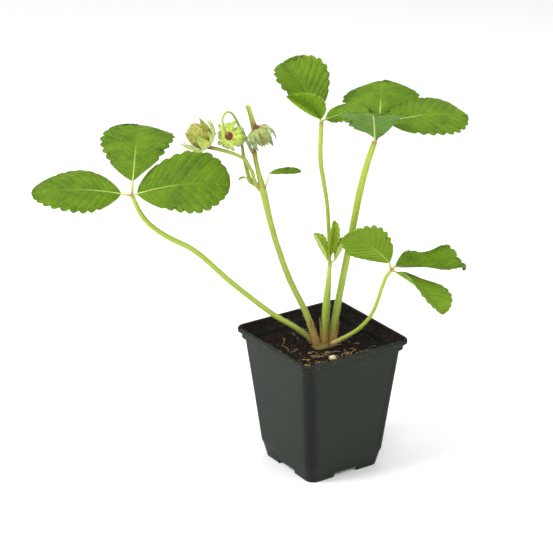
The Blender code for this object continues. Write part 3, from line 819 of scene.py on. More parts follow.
# Dried stipule: papery, half clear, tan to red-brown, streaked along its length with fine nerves.
stipule_finish, tree, shader = new_finish("dried_stipule", Roughness=0.6, Subsurface_Weight=0.3,
                                          Subsurface_Scale=0.001)
along = carried(tree, "along")
place = object_place(tree)
tones = colour_ramp(tree, along, (0.0, "8a6a2e"), (0.45, "b3934f"), (1.0, "7b5a2e"))
nerves = stretched(tree, place, (2200, 2200, 170))
nerve_noise = noise_level(tree, nerves, 1.0, 3)
streak = ranged(tree, nerve_noise, 0.45, 0.7, 0.0, 0.7)
streaked = colour_between(tree, streak, tones, "573a20")
tree.links.new(streaked, shader.inputs["Base Color"])
roughen(tree, shader, nerve_noise, 0.5, 0.0002)
stipules.data.materials.append(stipule_finish)
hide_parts("stipule_front", "stipule_back")
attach(stipules, "root")

# ======================================================================== leaflets
# Each leaf is three toothed leaflets on short stalks. The blade is a thin living sheet: every side
# vein sinks into its upper face and ends in one tooth, and the tissue between veins swells up.
BLADE_THICKNESS = 0.32
SIDE_VEINS = 12
ROWS_PER_VEIN = 8
COLUMNS = 15  # from the midrib to one edge
VEIN_SWEEP = 1.9  # how strongly the side veins sweep forward from the midrib to the edge
TOOTH_DEPTH = 3.5
TOOTH_LEAN = 1.6
PUFF = 0.8  # how far the tissue between veins swells up
LEAVES = {
    # stalk: {leaflet: base, heading, pitch, roll, length, width, droop, fold, camber, twist, near}
    "petiole_left": {
        "leaf_left_tip": ((-139.5, -10, 208.5), 187, 14.5, 23, 62, 54, 24, 7, 23, -17.5, 0.75),
        "leaf_left_back": ((-131.5, -7, 216.5), 88, 37, 10.5, 68, 54, 41, 9, 23, -13, 0.9),
        "leaf_left_inner": ((-128.5, -10, 208.5), 2, 18, -39.5, 65, 56, 26, 14, 18.5, 9.5, 0.8),
    },
    "petiole_back": {
        "leaf_back_upright": ((-2.5, 12.6, 257), 146, 62, 6, 46, 54.5, 31, 20, 13, -4, 1.0),
        "leaf_back_front": ((-2, 4.6, 257.5), -146, 53, 81, 36.5, 35, 31, 58, -15, 4, 0.9),
        "leaf_back_right": ((1, 7, 256.8), 2, 25, -3, 31, 33, 30, 6, 10, -4, 0.8),
    },
    "petiole_right": {
        "leaf_right_tip": ((44, -3.4, 258.5), 15, 12, -10, 57, 56, 24, 4, 16, 0, 0.7),
        "leaf_right_front": ((35, -3.5, 246.5), -97, 74, 0, 46, 44, 66, 6, 16, 0, 0.9),
        "leaf_right_back": ((38.5, 7, 254), 86, 34, 2, 50, 58, 32, 3, 30, 0, 0.9),
    },
    "petiole_low": {
        "leaf_low_left": ((46, -14, 158.5), 191, 52, 119, 40, 41, 34, 4, 20, 13, 0.9),
        "leaf_low_back": ((50.5, -14, 156.3), -3, 3, 1, 49, 44, 6, 23, 4, 0, 0.5),
        "leaf_low_right": ((51, -17, 153), -41, -10, 20, 47, 41, 32, 22.5, 11.5, -5, 0.9),
    },
    "petiole_young": {
        "leaf_young_left": ((3.2, -6.5, 158), 160, 55, 0, 21, 14, -10, 50, 5, 0, 0.9),
        "leaf_young_mid": ((5, -3.4, 159), 60, 78, -50, 26, 13, 0, 55, 5, 0, 0.9),
        "leaf_young_right": ((8.3, -5.4, 157.5), 8, 60, 0, 18, 13, 0, 45, 5, 0, 0.9),
    },
}


def blade_points(t, s, base, heading, pitch, roll, length, width, droop, fold, camber, twist, near):
    """Points of a leaflet's middle sheet for arrays t, along the midrib, and s, across from -1 to 1."""
    heading, pitch, roll, droop, fold, camber, twist = (
        radians(value) for value in (heading, pitch, roll, droop or 0.01, fold, camber or 0.01, twist))
    forward = np.array([cos(heading), sin(heading), 0])
    upright = np.array([0, 0, 1.0])
    flat_side = np.cross(forward, upright)
    run = length / droop * (sin(pitch) - np.sin(pitch - droop * t))
    rise = length / droop * (np.cos(pitch - droop * t) - cos(pitch))
    spine = np.array(base, float) + run[..., None] * forward + rise[..., None] * upright
    along = np.cos(pitch - droop * t)[..., None] * forward + np.sin(pitch - droop * t)[..., None] * upright
    flat_up = np.cross(flat_side, along)
    rolled = (roll + twist * t)[..., None]
    side = flat_side * np.cos(rolled) + flat_up * np.sin(rolled)
    up = flat_up * np.cos(rolled) - flat_side * np.sin(rolled)
    peak = near / (near + 0.5)
    half = width / 2 * (t**near * np.maximum(1 - t, 0) ** 0.5) / (peak**near * (1 - peak) ** 0.5)
    half = np.maximum(half, 0.5)
    across = half / camber * (sin(fold) - np.sin(fold - camber * np.abs(s)))
    lift = half / camber * (np.cos(fold - camber * np.abs(s)) - cos(fold))
    return spine + side * (across * np.sign(s))[..., None] + up * lift[..., None], up, half


def sheet_faces(rows, columns, first=0):
    """Faces of a thin closed sheet: an upper grid, an under grid and the rim between them."""
    count = rows * columns
    faces = []
    for i in range(rows - 1):
        for c in range(columns - 1):
            a = first + i * columns + c
            faces.append((a, a + 1, a + 1 + columns, a + columns))
            a += count
            faces.append((a, a + columns, a + 1 + columns, a + 1))
    rim = [*range(columns), *range(2 * columns - 1, count, columns)]
    rim += [*range(count - 2, count - columns - 1, -1), *range(count - 2 * columns, 0, -columns)]
    for a, b in zip(rim, rim[1:] + rim[:1]):
        faces.append((first + b, first + a, first + count + a, first + count + b))
    return faces


def leaflet_piece(name, node, junction, shape, looks, teeth=SIDE_VEINS, tooth=TOOTH_DEPTH, quilting=1.0,
                  wave=1.0, neck_radius=0.95, torn=0.0, painted_light=0.0):
    """A whole leaflet: quilted and toothed blade, midrib under it and short stalk, as one object."""
    rng = np.random.default_rng(sum(map(ord, node)))
    rows = teeth * ROWS_PER_VEIN + 1
    share = np.linspace(0, 1, rows)[:, None]
    edge = np.linspace(-1, 1, 2 * COLUMNS + 1)
    edge = (np.sign(edge) * (1 - (1 - np.abs(edge)) ** 1.35))[None, :]
    share, s = np.broadcast_arrays(share, edge)
    out = np.abs(s)
    # the teeth are even along the edge; each vein starts further back, near the foot of the midrib
    length, width, near = shape[4], shape[5], shape[10]
    fine = np.linspace(0, 1, 600)
    peak = near / (near + 0.5)
    profile = width / 2 * (fine**near * (1 - fine) ** 0.5) / (peak**near * (1 - peak) ** 0.5)
    travelled = np.append(0, np.cumsum(np.hypot(np.diff(fine) * length, np.diff(profile))))
    at_edge = np.interp(share, travelled / travelled[-1], fine)
    at_rib = np.minimum(share**VEIN_SWEEP, at_edge)
    t = at_rib + (at_edge - at_rib) * out**0.9
    phase = teeth * share
    toothed = np.clip((share - 0.22) / 0.12, 0, 1)
    notch = 1 - np.abs(np.cos(pi * phase)) ** 0.55
    uneven = np.interp(share, np.linspace(0, 1, 2 * teeth + 1), rng.uniform(0.7, 1.25, 2 * teeth + 1))
    t = np.clip(t + TOOTH_LEAN / length * (1 - notch) * toothed * out**9 * (1 - share), 0, 1)
    # each notch is cut square to the edge: sideways at the middle, backwards at the tip
    slope = np.interp(at_edge, fine, np.gradient(profile, fine * length))
    depth = tooth * uneven * notch * toothed * out**9
    _, _, full = blade_points(t, s, *shape)
    cut_back = np.clip(t + depth / length * slope / np.hypot(1, slope), 0, 1)
    t = np.maximum(cut_back, at_rib + 0.35 * (t - at_rib))
    _, _, half = blade_points(t, s, *shape)
    kept = np.clip((full - depth / np.hypot(1, slope)) / half, 0.25, 1)
    lobing = 0.03 * np.sin(7 * share + rng.uniform(0, 6)) * out**2 * toothed
    if torn:  # two humps and a thin tip are left of an edge that something has eaten
        lobing = torn * np.sin(7 * share - 1.58) ** 2 * out**2
    spot, up, half = blade_points(t, s * (kept - np.abs(lobing)), *shape)
    swell = (np.abs(np.sin(pi * phase)) ** 0.8 - 0.55) * np.minimum(out * 3, 1) * (1 - 0.6 * out**3)
    swell = swell * np.interp(at_edge, [0.1, 0.3, 0.85, 1], [0.4, 1, 1, 0.2])
    height = quilting * PUFF * swell - quilting * 0.55 * np.exp(-((out * half / 1.2) ** 2))
    offset = rng.uniform(0, 6, 3)
    height = height + wave * 0.8 * np.sin(5.2 * share + offset[0] + 1.6 * s) * out**1.5
    height = height + wave * 0.6 * np.sin(11 * share + offset[1]) * out**4 * np.sign(s + 0.01)
    height = height * np.clip(half / 6, 0.15, 1)
    middle = spot + up * height[..., None]
    across_step = np.gradient(middle, axis=1)
    along_step = np.gradient(middle, axis=0)
    normal = np.cross(across_step, along_step)
    normal /= np.maximum(np.linalg.norm(normal, axis=2, keepdims=True), 1e-9)
    normal *= np.sign(np.sum(normal * up, axis=2, keepdims=True))
    thick = BLADE_THICKNESS / 2
    top = (middle + normal * thick).reshape(-1, 3)
    under = (middle - normal * thick).reshape(-1, 3)
    columns = middle.shape[1]
    faces = sheet_faces(rows, columns)
    verts = [*top, *under]
    veins_at = [*phase.ravel(), *phase.ravel()]
    outs = [*s.ravel(), *s.ravel()]
    blade_faces = len(faces)

    base = Vector(shape[0])
    neck = Vector(junction)
    rib = [(*neck, neck_radius), (*(neck * 0.35 + base * 0.65), 0.85 * neck_radius)]
    for k in range(9):
        i = int(np.searchsorted(at_rib[:, 0], k / 9))
        point = middle[i, COLUMNS] - normal[i, COLUMNS] * (thick + 0.1)
        rib.append((*point, 0.75 * neck_radius * (1 - k / 9.5) ** 0.8))
    rib_frames = stalk_frames(rib, 4)
    first = len(verts)
    for spot_at, _, side, other, radius, share in rib_frames:
        for k in range(8):
            angle = pi * k / 4
            verts.append(spot_at + (side * cos(angle) + other * sin(angle)) * radius)
            veins_at.append(share)
            outs.append(-2)
    for i in range(len(rib_frames) - 1):
        for k in range(8):
            a, b = first + 8 * i + k, first + 8 * i + (k + 1) % 8
            faces.append((a, b, b + 8, a + 8))
    faces.append(tuple(first + k for k in reversed(range(8))))
    faces.append(tuple(len(verts) - 8 + k for k in range(8)))
    made = add_object(name, [PLANT @ Vector(v) for v in verts], faces, looks)
    slots = [0 if k % 2 == 0 else 1 for k in range(2 * (rows - 1) * (columns - 1))]
    slots += [0] * (blade_faces - len(slots)) + [2] * (len(faces) - blade_faces)
    made.data.polygons.foreach_set("material_index", slots)
    carry(made, "vein", veins_at)
    carry(made, "out", outs)
    # each point carries how much painted light its leaflet gets
    carry(made, "painted_light", [painted_light] * len(verts))
    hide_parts(node)
    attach(made, "root")
    return made


def blade_finish(name, body_dark, body_light, vein_code, side_strength, net_strength, relief_depth,
                 **sockets):
    """Leaf skin coloured along the blade's own veins, carried as the attributes vein and out."""
    made, tree, shader = new_finish(name, **sockets)
    place = object_place(tree)
    phase = carried(tree, "vein")
    out = carried(tree, "out")
    patch = noise_level(tree, place, 75, 5, 0.65)
    spread = ranged(tree, patch, 0.3, 0.7)
    body = colour_between(tree, spread, body_dark, body_light)
    # Painted light: leaflets that the lamps leave too dark are mixed towards a light yellow green.
    painted_light = carried(tree, "painted_light")
    body = colour_between(tree, painted_light, body, "8fae30")
    # side veins lie where the vein attribute is whole; the line thins towards the edge
    centred = calculated(tree, "ADD", phase, 0.5)
    centred = calculated(tree, "FRACT", centred)
    centred = calculated(tree, "SUBTRACT", centred, 0.5)
    away = calculated(tree, "ABSOLUTE", centred)
    side_vein = ranged(tree, away, 0.015, 0.1, side_strength, 0.0, interpolation_type="SMOOTHSTEP")
    distance = calculated(tree, "ABSOLUTE", out)
    fade = ranged(tree, phase, 0.0, 10.0, 1.0, 0.15)
    midrib = add_node(tree, "ShaderNodeMapRange", {1: 0.01, 2: 0.045, 4: 0.0}, {0: distance, 3: fade},
                      interpolation_type="SMOOTHSTEP")
    lines = calculated(tree, "MAXIMUM", side_vein, midrib.outputs[0])
    # the net of finest veins: cells about 1.2 mm across
    warp = add_node(tree, "ShaderNodeTexNoise", {"Scale": 320, "Detail": 1}, {"Vector": place})
    bent = add_node(tree, "ShaderNodeMix", {0: 0.0012}, {4: place, 5: warp.outputs["Color"]},
                    data_type="VECTOR")
    net = add_node(tree, "ShaderNodeTexVoronoi", {"Scale": 800}, {"Vector": bent.outputs[1]},
                   feature="DISTANCE_TO_EDGE")
    mesh_line = ranged(tree, net.outputs["Distance"], 0.0, 0.14, net_strength, 0.0)
    lines = calculated(tree, "MAXIMUM", lines, mesh_line)
    veined = colour_between(tree, lines, body, vein_code)
    tree.links.new(veined, shader.inputs["Base Color"])
    cells = ranged(tree, net.outputs["Distance"], 0.0, 0.35)
    relief = roughen(tree, shader, cells, 0.55, relief_depth)
    roughen(tree, shader, side_vein, 0.8, relief_depth * 1.6, over=relief, invert=relief_depth > 0)
    return made


# Upper face of the blade: a waxy mid green skin, veins a little lighter, with a cool bloom where it
# is seen edge-on. The real net of veins is finer; it is drawn at 1.2 mm so that it shows.
leaf_upper = blade_finish("leaf_upper_skin", "375503", "5c7809", "8ba42a", 0.28, 0.14, 0.0004, Roughness=0.45,
                          IOR=1.36, Subsurface_Weight=0.35, Subsurface_Scale=0.0012,
                          Subsurface_Radius=(0.5, 1.0, 0.15), Specular_IOR_Level=0.25, Sheen_Weight=0.02,
                          Sheen_Roughness=0.4, Sheen_Tint=hex_colour("b8d4cc"))
# Under face: paler and matt with fine felt, its veins standing out whitish green.
leaf_under = blade_finish("leaf_under_skin", "4e6f26", "5f8530", "8aa84a", 0.5, 0.25, 0.0003, Roughness=0.65,
                          IOR=1.4, Subsurface_Weight=0.35, Subsurface_Scale=0.0012,
                          Subsurface_Radius=(0.5, 1.0, 0.15), Sheen_Weight=0.05,
                          Sheen_Roughness=0.6, Sheen_Tint=hex_colour("e2ecc8"))
# Midrib and leaflet stalk: the same flesh as the stalks, paler, reddened where it joins them.
midrib_finish, tree, shader = new_finish("midrib_flesh", Roughness=0.5, Subsurface_Weight=0.25,
                                         Subsurface_Scale=0.001, Sheen_Weight=0.3)
along = carried(tree, "vein")
tones = colour_ramp(tree, along, (0.0, "8b7a34"), (0.03, "9c7a3c"), (0.08, "a9b34a"), (1.0, "bcd07c"))
tree.links.new(tones, shader.inputs["Base Color"])

leaf_looks = [leaf_upper, leaf_under, midrib_finish]
# A leaf that is still unfolding is thinner and yellower, and more light comes through it.
young_upper = blade_finish("young_leaf_upper_skin", "748c1e", "93a832", "b4c44c", 0.4, 0.12, 0.0003,
                           Roughness=0.45, IOR=1.36, Subsurface_Weight=0.5, Subsurface_Scale=0.0015,
                           Subsurface_Radius=(0.8, 1.0, 0.2), Specular_IOR_Level=0.3)
young_under = blade_finish("young_leaf_under_skin", "8a9c40", "a2b450", "c0cc80", 0.5, 0.2, 0.0003,
                           Roughness=0.65, IOR=1.4, Subsurface_Weight=0.5, Subsurface_Scale=0.0015,
                           Subsurface_Radius=(0.6, 1.0, 0.15), Sheen_Weight=0.2)
young_looks = [young_upper, young_under, midrib_finish]
PAINTED_LIGHT_LEVELS = {  # painted light: leaflets that the lamps leave darker are painted lighter and yellower
    "leaf_low_left": 0.42, "leaf_low_right": 0.3, "leaf_back_front": 0.75, "leaf_back_upright": 0.1,
    "leaf_back_right": 0.15,
}
CRUMPLED = {  # leaflets whose edges wave more
    "leaf_low_back": 2.2, "leaf_low_right": 1.6, "leaf_back_upright": 1.4, "leaf_right_front": 2.4,
}
for stem, leaflets in LEAVES.items():
    young = stem == "petiole_young"
    for node, shape in leaflets.items():
        leaflet_piece(node.replace("leaf_", "leaflet_"), node, LEAF_STALKS[stem][-1][:3], shape,
                      young_looks if young else leaf_looks,
                      teeth=7 if young else SIDE_VEINS, tooth=1.4 if young else TOOTH_DEPTH,
                      quilting=0.7 if young else 1.0, wave=0.3 if young else CRUMPLED.get(node, 1.0),
                      neck_radius=0.7 if young else 0.95, torn=0.42 if node == "leaf_low_back" else 0.0,
                      painted_light=PAINTED_LIGHT_LEVELS.get(node, 0.0))

# ======================================================================== truss of flower stalks
# One stalk rises from the crown and forks into four thinner ones: three that carried flowers and a
# bud's. They are finer and hairier than the leaf stalks, and brownish where they turn over.
TRUSS = {
    "flower_stalk": [
        *FLOWER_STALK_FOOT, (-31.5, -7, 167.5, 2.1), (-37, -8, 188.5, 2.2), (-41.5, -10, 210, 2.5),
        (-44.7, -10, 224, 1.7), (-46.5, -10, 232, 1.6), (-47.5, -10, 239, 1.8),
    ],
    "pedicel_middle": [
        (-48.4, -9.6, 238.4, 1.2), (-50, -9.5, 241, 1.2), (-53, -7, 247, 1.1), (-56, -6, 253, 1.0),
        (-59, -6.5, 259, 0.9), (-61.5, -8, 264.5, 0.8), (-64, -11, 268, 0.7), (-67, -14.5, 268.5, 0.7),
        (-69, -17.5, 265, 0.7), (-68, -20, 260, 0.7), (-65.8, -20.8, 255, 0.8),
    ],
    "pedicel_right": [
        (-47.4, -8.8, 238.6, 1.3), (-47.4, -8.0, 241.2, 1.2), (-47.8, -5.0, 247, 1.1),
        (-49.4, -5.0, 258.5, 1.1), (-51.5, -7, 268, 1.1), (-52.5, -8.5, 271.5, 1.1),
        (-51, -10.5, 271, 1.1), (-49, -12.5, 265.5, 1.1), (-47, -14, 260, 1.1),
    ],
    "pedicel_left": [
        (-44.6, -11.0, 213, 1.3), (-47.6, -12.2, 219, 1.3), (-48.8, -12.2, 224.5, 1.3),
        (-51, -12.5, 229, 1.3), (-54, -14, 235, 1.3), (-57, -15.5, 237.5, 1.2),
        (-62.5, -17, 240.5, 1.2), (-71, -16.5, 243, 1.3), (-77, -15.5, 244, 1.4),
    ],
    "pedicel_bud": [
        (-43.4, -9.2, 210.5, 1.2), (-46.2, -8.2, 213.5, 1.2), (-50.5, -7.2, 217, 1.7), (-52, -7, 221.5, 1.3),
        (-54, -5.6, 229.5, 1.2), (-55.3, -3.6, 235.5, 1.1), (-56, -1.6, 240.5, 1.0),
    ],
}

# Stalks of the truss: the same fresh skin, more olive, browned by the sun towards the flowers.
truss_finish, tree, shader = new_finish("sunned_stalk", Roughness=0.5, IOR=1.4, Subsurface_Weight=0.2,
                                        Subsurface_Scale=0.0015, Sheen_Weight=0.3, Sheen_Roughness=0.5,
                                        Sheen_Tint=hex_colour("eef2c8"))
along = carried(tree, "along")
place = object_place(tree)
tones = colour_ramp(tree, along, (0.0, "97713f"), (0.06, "94963e"), (0.2, "8a9e34"), (0.7, "93a73a"),
                    (0.92, "8a8c36"), (1.0, "7d5c2a"))
streaks = stretched(tree, place, (1500, 1500, 130))
streak_noise = noise_level(tree, streaks, 1.0, 3)
browned = ranged(tree, streak_noise, 0.52, 0.75, 0.0, 0.65)
toned = colour_between(tree, browned, tones, "7f6a30")
tree.links.new(toned, shader.inputs["Base Color"])
roughen(tree, shader, streak_noise, 0.4, 0.0003)

for node, rows in TRUSS.items():
    stalk = stalk_piece(node + "_skin", rows, truss_finish, groove=0.08, bumps=0.08, sides=16)
    hairy_pieces.append(stalk)
    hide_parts(node)
    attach(stalk, "root")

# ======================================================================== small leaves of the truss
# A narrow leaf stands out where the truss forks, and a small green scale sits on the knot of the
# bud's stalk. Both are made like the leaflets, but hardly toothed.
BRACT_FOOT = (-40.3, -12.4, 212.5)
leaflet_piece("truss_leaf", "bract_leaf", BRACT_FOOT,
              ((-37, -14, 225), -9, 17, -22, 22, 7.5, 22, 8, 5, 0, 0.7),
              leaf_looks, teeth=4, tooth=0.5, quilting=0.4, wave=0.3, neck_radius=0.5)
leaflet_piece("truss_scale", "bract_scale", (-50.5, -8.6, 219.2),
              ((-53, -11, 220.5), -160, 20, 0, 6, 3.4, 60, 20, 5, 0, 0.7),
              young_looks, teeth=3, tooth=0.3, quilting=0.2, wave=0.2, neck_radius=0.4)

# ======================================================================== three spent flowers
# The petals have dropped. What is left of each flower is a cup of hairy sepals, five broad ones and
# five narrow ones outside them, on a brown joint, with a hard green berry and dry stamens in it.
HEADS = {
    # back point, axis, radius and depth of the cup, how far the tips close, berry radius, sepal colours
    "left": ((-79.4, -15.3, 245.6), (-0.62, -0.1, 0.78), 10.5, 15.5, 1.08, 6.9,
             ("8f9436", "b9c24a", "7d9a2a")),
    "middle": ((-64.8, -18.4, 253.4), (0.2, 0.9, -0.25), 8.6, 10.5, 1.05, 4.2,
               ("d0cc5c", "b4c843", "5f8a22")),
    "right": ((-46.0, -14.2, 257.6), (0.48, -0.04, -0.88), 9.0, 14.4, 0.92, 4.8,
              ("a09a3c", "8c9c48", "3f5a30")),
}
SEPAL_THICKNESS = 0.35


def axis_frame(place, axis):
    """Matrix whose Z axis is `axis` and whose origin is `place`, in the plant's frame."""
    return Matrix.Translation(Vector(place)) @ Vector(axis).to_track_quat("Z", "Y").to_matrix().to_4x4()


def turned_piece(name, frame, profile, look, sides=24):
    """A closed round piece from a (radius, height) profile along a frame's axis."""
    rings = []
    for radius, height in profile:
        angles = [2 * pi * k / sides for k in range(sides)]
        rings.append([PLANT @ frame @ Vector((radius * cos(a), radius * sin(a), height)) for a in angles])
    return add_object(name, *skin(rings), [look])


def sepal_whorl(name, frame, radius, depth, tip, look):
    """Ten thin pointed sepals in one cup: five broad, five narrow outside and between them."""
    rng = np.random.default_rng(sum(map(ord, name)))
    rows, columns = 19, 9
    verts, faces, alongs, sides = [], [], [], []
    for k in range(10):
        broad = k % 2 == 0
        reach = rng.uniform(0.92, 1.08) if broad else rng.uniform(0.72, 0.88)
        flare = rng.uniform(-0.08, 0.08) + (0 if broad else 0.1)
        width = radians(34 if broad else 14)
        middle_angle = 2 * pi * k / 10 + rng.uniform(-0.06, 0.06)
        first = len(verts)
        for layer in (1, -1):
            for i in range(rows):
                v = i / (rows - 1)
                level = np.interp(v, [0, 0.15, 0.4, 0.7, 1], [0, 0.04, 0.2, 0.58, 1]) * depth * reach
                out = np.interp(v, [0, 0.15, 0.4, 0.7, 1], [0.12, 0.42, 0.78, 0.99, tip])
                out = radius * (out + flare * v**2) + (0.25 if broad else 0.75)
                half = width * (1 - v**1.45) + 0.012
                for c in range(columns):
                    s = 2 * c / (columns - 1) - 1
                    angle = middle_angle + half * s
                    crease = -0.45 * (1 - abs(s)) ** 2 * (1 - v) + 0.35 * s * s * v
                    crinkle = 0.22 * noise.noise(Vector((3 * v, angle * 2.5, k)))
                    crinkle = crinkle + 0.12 * sin(9 * v + k) * abs(s)
                    r = out + crease + crinkle + layer * SEPAL_THICKNESS / 2 * (1 - 0.5 * v)
                    point = Vector((r * cos(angle), r * sin(angle), level - 0.3 * s * s))
                    verts.append(PLANT @ frame @ point)
                    alongs.append(v)
                    sides.append(s)
        faces += sheet_faces(rows, columns, first)
    made = add_object(name, verts, faces, [look])
    carry(made, "along", alongs)
    carry(made, "out", sides)
    return made


def sepal_finish(name, foot_code, body_code, tip_code):
    """Hairy green sepal: veins and tip darker, matt, with a silky edge."""
    made, tree, shader = new_finish(name, Roughness=0.7, IOR=1.4, Subsurface_Weight=0.15,
                                    Subsurface_Scale=0.001, Sheen_Weight=0.4, Sheen_Roughness=0.5,
                                    Sheen_Tint=hex_colour("f1f2cc"))
    along = carried(tree, "along")
    out = carried(tree, "out")
    place = object_place(tree)
    tones = colour_ramp(tree, along, (0.0, foot_code), (0.4, body_code), (1.0, tip_code))
    lengthwise = calculated(tree, "MULTIPLY", out, 13.0)
    lengthwise = calculated(tree, "SINE", lengthwise)
    nerves = ranged(tree, lengthwise, 0.5, 1.0, 0.0, 0.45)
    patch = noise_level(tree, place, 420, 4)
    blotch = ranged(tree, patch, 0.47, 0.62, 0.0, 0.75)
    marks = calculated(tree, "MAXIMUM", nerves, blotch)
    marked = colour_between(tree, marks, tones, tip_code)
    tree.links.new(marked, shader.inputs["Base Color"])
    roughen(tree, shader, patch, 0.6, 0.0004)
    return made


# Joint of a spent flower: a corky ring, dark red-brown, where the petals and stamens broke off.
joint_finish, tree, shader = new_finish("corky_joint", Roughness=0.75)
place = object_place(tree)
cork = noise_level(tree, place, 900, 4)
tone = colour_between(tree, cork, "2c0f08", "7a3d20")
tree.links.new(tone, shader.inputs["Base Color"])
roughen(tree, shader, cork, 0.8, 0.0004)

# Unripe berry: hard, pale green, a little glossy, set with pips that Geometry Nodes place.
berry_finish, tree, shader = new_finish("unripe_berry", Roughness=0.4, Subsurface_Weight=0.2,
                                        Subsurface_Scale=0.001)
two_tones(tree, shader, 500, 3, "8f963a", "b9b658")
pip_finish, tree, shader = new_finish("berry_pip", Roughness=0.35)
two_tones(tree, shader, 800, 2, "6d7a2a", "b8a94a")

# Dry stamens: wiry, dark brown with paler stretches.
stamen_finish, tree, shader = new_finish("dry_stamen", Roughness=0.7)
two_tones(tree, shader, 400, 2, "3d3320", "7c7440")

pips, into, out_of = new_tree("pips",
                              {"Number": ("NodeSocketFloat", 900000.0), "Size": ("NodeSocketFloat", 0.00042)})
spots = add_node(pips, "GeometryNodeDistributePointsOnFaces",
                 {"Distance Min": 0.0009, "Density Max": 900000.0, "Seed": 4},
                 {"Mesh": into.outputs["Geometry"]}, distribute_method="POISSON")
pips.links.new(into.outputs["Number"], spots.inputs["Density Max"])
drop = add_node(pips, "GeometryNodeMeshUVSphere", {"Segments": 6, "Rings": 4},
                {"Radius": into.outputs["Size"]})
placed = add_node(pips, "GeometryNodeInstanceOnPoints", {"Scale": (0.6, 1.0, 0.5)},
                  {"Points": spots.outputs["Points"], "Instance": drop.outputs["Mesh"],
                   "Rotation": spots.outputs["Rotation"]})
whole = add_node(pips, "GeometryNodeRealizeInstances", links={0: placed.outputs[0]})
looked = add_node(pips, "GeometryNodeSetMaterial", {"Material": pip_finish}, {0: whole.outputs[0]})
pips.links.new(looked.outputs[0], out_of.inputs["Geometry"])

STAMENS = 16
green_berries = []
for side_name, (place, axis, radius, depth, tip, berry, codes) in HEADS.items():
    head = axis_frame(place, axis)
    look = sepal_finish(f"hairy_sepal_{side_name}", *codes)
    sepals = sepal_whorl(f"sepals_{side_name}", head, radius, depth, tip, look)
    hairy_pieces.append(sepals)
    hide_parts(f"calyx_{side_name}")
    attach(sepals, "root")

    ring = [(0.9, -2.8), (1.5, -2.4), (1.3, -1.3), (2.0, -1.2), (2.7, -0.7), (2.9, 0.1), (2.4, 0.7),
            (1.2, 0.8)]
    joint = turned_piece(f"flower_joint_{side_name}", head, ring, joint_finish)
    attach(joint, "root")

    profile = []
    for k in range(15):
        angle = radians(-88 + 176 * k / 14)
        shrink = 1 - 0.18 * k / 14
        profile.append((berry * cos(angle) * shrink, 1.15 * berry * (sin(angle) + 1) + 0.12 * depth))
    green_berry = turned_piece(f"green_berry_{side_name}", head, profile, berry_finish, 32)
    green_berries.append(green_berry)
    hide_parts(f"berry_{side_name}")
    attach(green_berry, "root")
    set_pips = grown(f"berry_pips_{side_name}", green_berry, pips)
    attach(set_pips, "root")

    rng = np.random.default_rng(sum(map(ord, side_name)))
    stamen_verts, stamen_faces = [], []
    for k in range(STAMENS):
        angle = 2 * pi * (k + rng.uniform(-0.3, 0.3)) / STAMENS
        reach = radius * rng.uniform(0.95, 1.35)
        rise = depth * rng.uniform(0.1, 0.75)
        wire = []
        for v in (0, 0.25, 0.5, 0.75, 1):
            sag = rng.uniform(-0.5, 0.5)
            r = 2.4 + (reach - 2.4) * v
            bend = angle + 0.35 * v * v * sin(5 * k)
            level = 0.4 + rise * v**0.7 + sag * v
            wire.append((*(head @ Vector((r * cos(bend), r * sin(bend), level))), 0.16 - 0.05 * v))
        frames = stalk_frames(wire, 3)
        first = len(stamen_verts)
        for spot, _, side, other, wire_radius, _ in frames:
            for c in range(4):
                turned = pi * c / 2
                stamen_verts.append(PLANT @ (spot + (side * cos(turned) + other * sin(turned)) * wire_radius))
        for i in range(len(frames) - 1):
            for c in range(4):
                a, b = first + 4 * i + c, first + 4 * i + (c + 1) % 4
                stamen_faces.append((a, b, b + 4, a + 4))
        stamen_faces.append((first + 3, first + 2, first + 1, first))
        stamen_faces.append(tuple(len(stamen_verts) - 4 + c for c in range(4)))
    stamens = add_object(f"dry_stamens_{side_name}", stamen_verts, stamen_faces, [stamen_finish])
    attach(stamens, "root")

# ======================================================================== bud
# One flower has not opened: its sepals are still shut over it, ridged where they meet.
bud_frame = axis_frame((-56.2, -1.1, 242.3), (-0.05, 0.15, 1))
bud_rings, bud_alongs, bud_sides = [], [], []
BUD_SIDES = 40
BUD_PROFILE = [(0.5, -0.4), (1.4, 0.0), (2.3, 1.2), (2.9, 3.0), (3.0, 5.0), (2.6, 6.8), (1.9, 8.2),
               (1.1, 9.3), (0.4, 10.0)]  # radius and level in mm
for bud_radius, level in BUD_PROFILE:
    ring = []
    for c in range(BUD_SIDES):
        angle = 2 * pi * c / BUD_SIDES
        ridge = 1 - 0.14 * abs(cos(2.5 * angle)) ** 6
        across = bud_radius * ridge
        ring.append(PLANT @ bud_frame @ Vector((across * cos(angle), across * sin(angle), level)))
        bud_alongs.append(level / 10)
        bud_sides.append(2 * abs((2.5 * angle / pi) % 1 - 0.5))
    bud_rings.append(ring)
bud_look = sepal_finish("hairy_sepal_bud", "a3a83e", "b4c64a", "6f9a2a")
closed_bud = add_object("closed_bud", *skin(bud_rings), [bud_look])
carry(closed_bud, "along", bud_alongs)
carry(closed_bud, "out", bud_sides)
hairy_pieces.append(closed_bud)
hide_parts("flower_bud")
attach(closed_bud, "root")

# ======================================================================== hairs
# Fine white hairs stand out from every stalk and lie thick on the sepals. The real ones are 0.05 mm
# thick and 1 to 2 mm long; they are drawn 0.1 mm thick so that they show.
hair_finish, tree, shader = new_finish("plant_hair", Roughness=0.5, Subsurface_Weight=0.3,
                                       Subsurface_Scale=0.0005)
two_tones(tree, shader, 150, 2, "c9cf8c", "f0f2d2")

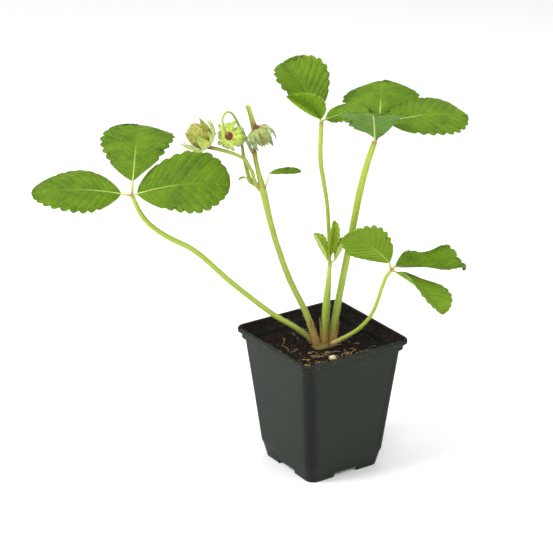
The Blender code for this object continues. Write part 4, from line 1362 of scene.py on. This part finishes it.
hairs, into, out_of = new_tree("hairs", {"Number": ("NodeSocketFloat", 500000.0),
                                         "Length": ("NodeSocketFloat", 0.0013),
                                         "Radius": ("NodeSocketFloat", 0.00005),
                                         "Lean": ("NodeSocketFloat", 0.5),
                                         "Finish": ("NodeSocketMaterial", hair_finish)})
spots = add_node(hairs, "GeometryNodeDistributePointsOnFaces", {"Seed": 9},
                 {"Mesh": into.outputs["Geometry"], "Density": into.outputs["Number"]})
cone = add_node(hairs, "GeometryNodeMeshCone", {"Vertices": 3},
                {"Radius Bottom": into.outputs["Radius"], "Depth": into.outputs["Length"]}, fill_type="NONE")
lean_back = add_node(hairs, "ShaderNodeMath", {1: -1.0}, {0: into.outputs["Lean"]}, operation="MULTIPLY")
low = add_node(hairs, "ShaderNodeCombineXYZ", {2: -pi}, {0: lean_back.outputs[0], 1: lean_back.outputs[0]})
high = add_node(hairs, "ShaderNodeCombineXYZ", {2: pi}, {0: into.outputs["Lean"], 1: into.outputs["Lean"]})
leaning = add_node(hairs, "FunctionNodeRandomValue", {"Seed": 2}, {0: low.outputs[0], 1: high.outputs[0]},
                   data_type="FLOAT_VECTOR")
turned = add_node(hairs, "FunctionNodeRotateEuler",
                  links={0: spots.outputs["Rotation"], 1: leaning.outputs[0]}, space="LOCAL")
sizes = add_node(hairs, "FunctionNodeRandomValue", {"Seed": 5, 2: 0.45, 3: 1.2}, data_type="FLOAT")
placed = add_node(hairs, "GeometryNodeInstanceOnPoints",
                  links={"Points": spots.outputs["Points"], "Instance": cone.outputs["Mesh"],
                         "Rotation": turned.outputs[0], "Scale": sizes.outputs[1]})
whole = add_node(hairs, "GeometryNodeRealizeInstances", links={0: placed.outputs[0]})
looked = add_node(hairs, "GeometryNodeSetMaterial",
                  links={0: whole.outputs[0], "Material": into.outputs["Finish"]})
hairs.links.new(looked.outputs[0], out_of.inputs["Geometry"])

for piece in hairy_pieces:
    on_sepals = piece.name.startswith(("sepals", "closed"))
    settings = dict(Number=3200000.0, Length=0.0013) if on_sepals else {}
    fuzz = grown(f"hairs_on_{piece.name}", piece, hairs, **settings)
    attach(fuzz, "root")

# Every pip of the berry still carries its dried style: together they make an olive and straw brush.
# They are drawn 3.6 mm long and about 0.4 mm thick, several times thicker than real ones, to show.
style_finish, tree, shader = new_finish("dried_style", Roughness=0.6, Subsurface_Weight=0.2,
                                        Subsurface_Scale=0.0005)
place = object_place(tree)
patch = noise_level(tree, place, 420, 3)
tones = colour_ramp(tree, patch, (0.36, "666a1c"), (0.68, "d2d068"))
tree.links.new(tones, shader.inputs["Base Color"])
for berry in green_berries:
    brush = grown(f"styles_on_{berry.name}", berry, hairs, Number=1500000.0, Length=0.0036, Radius=0.00018,
                  Lean=0.9, Finish=style_finish)
    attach(brush, "root")
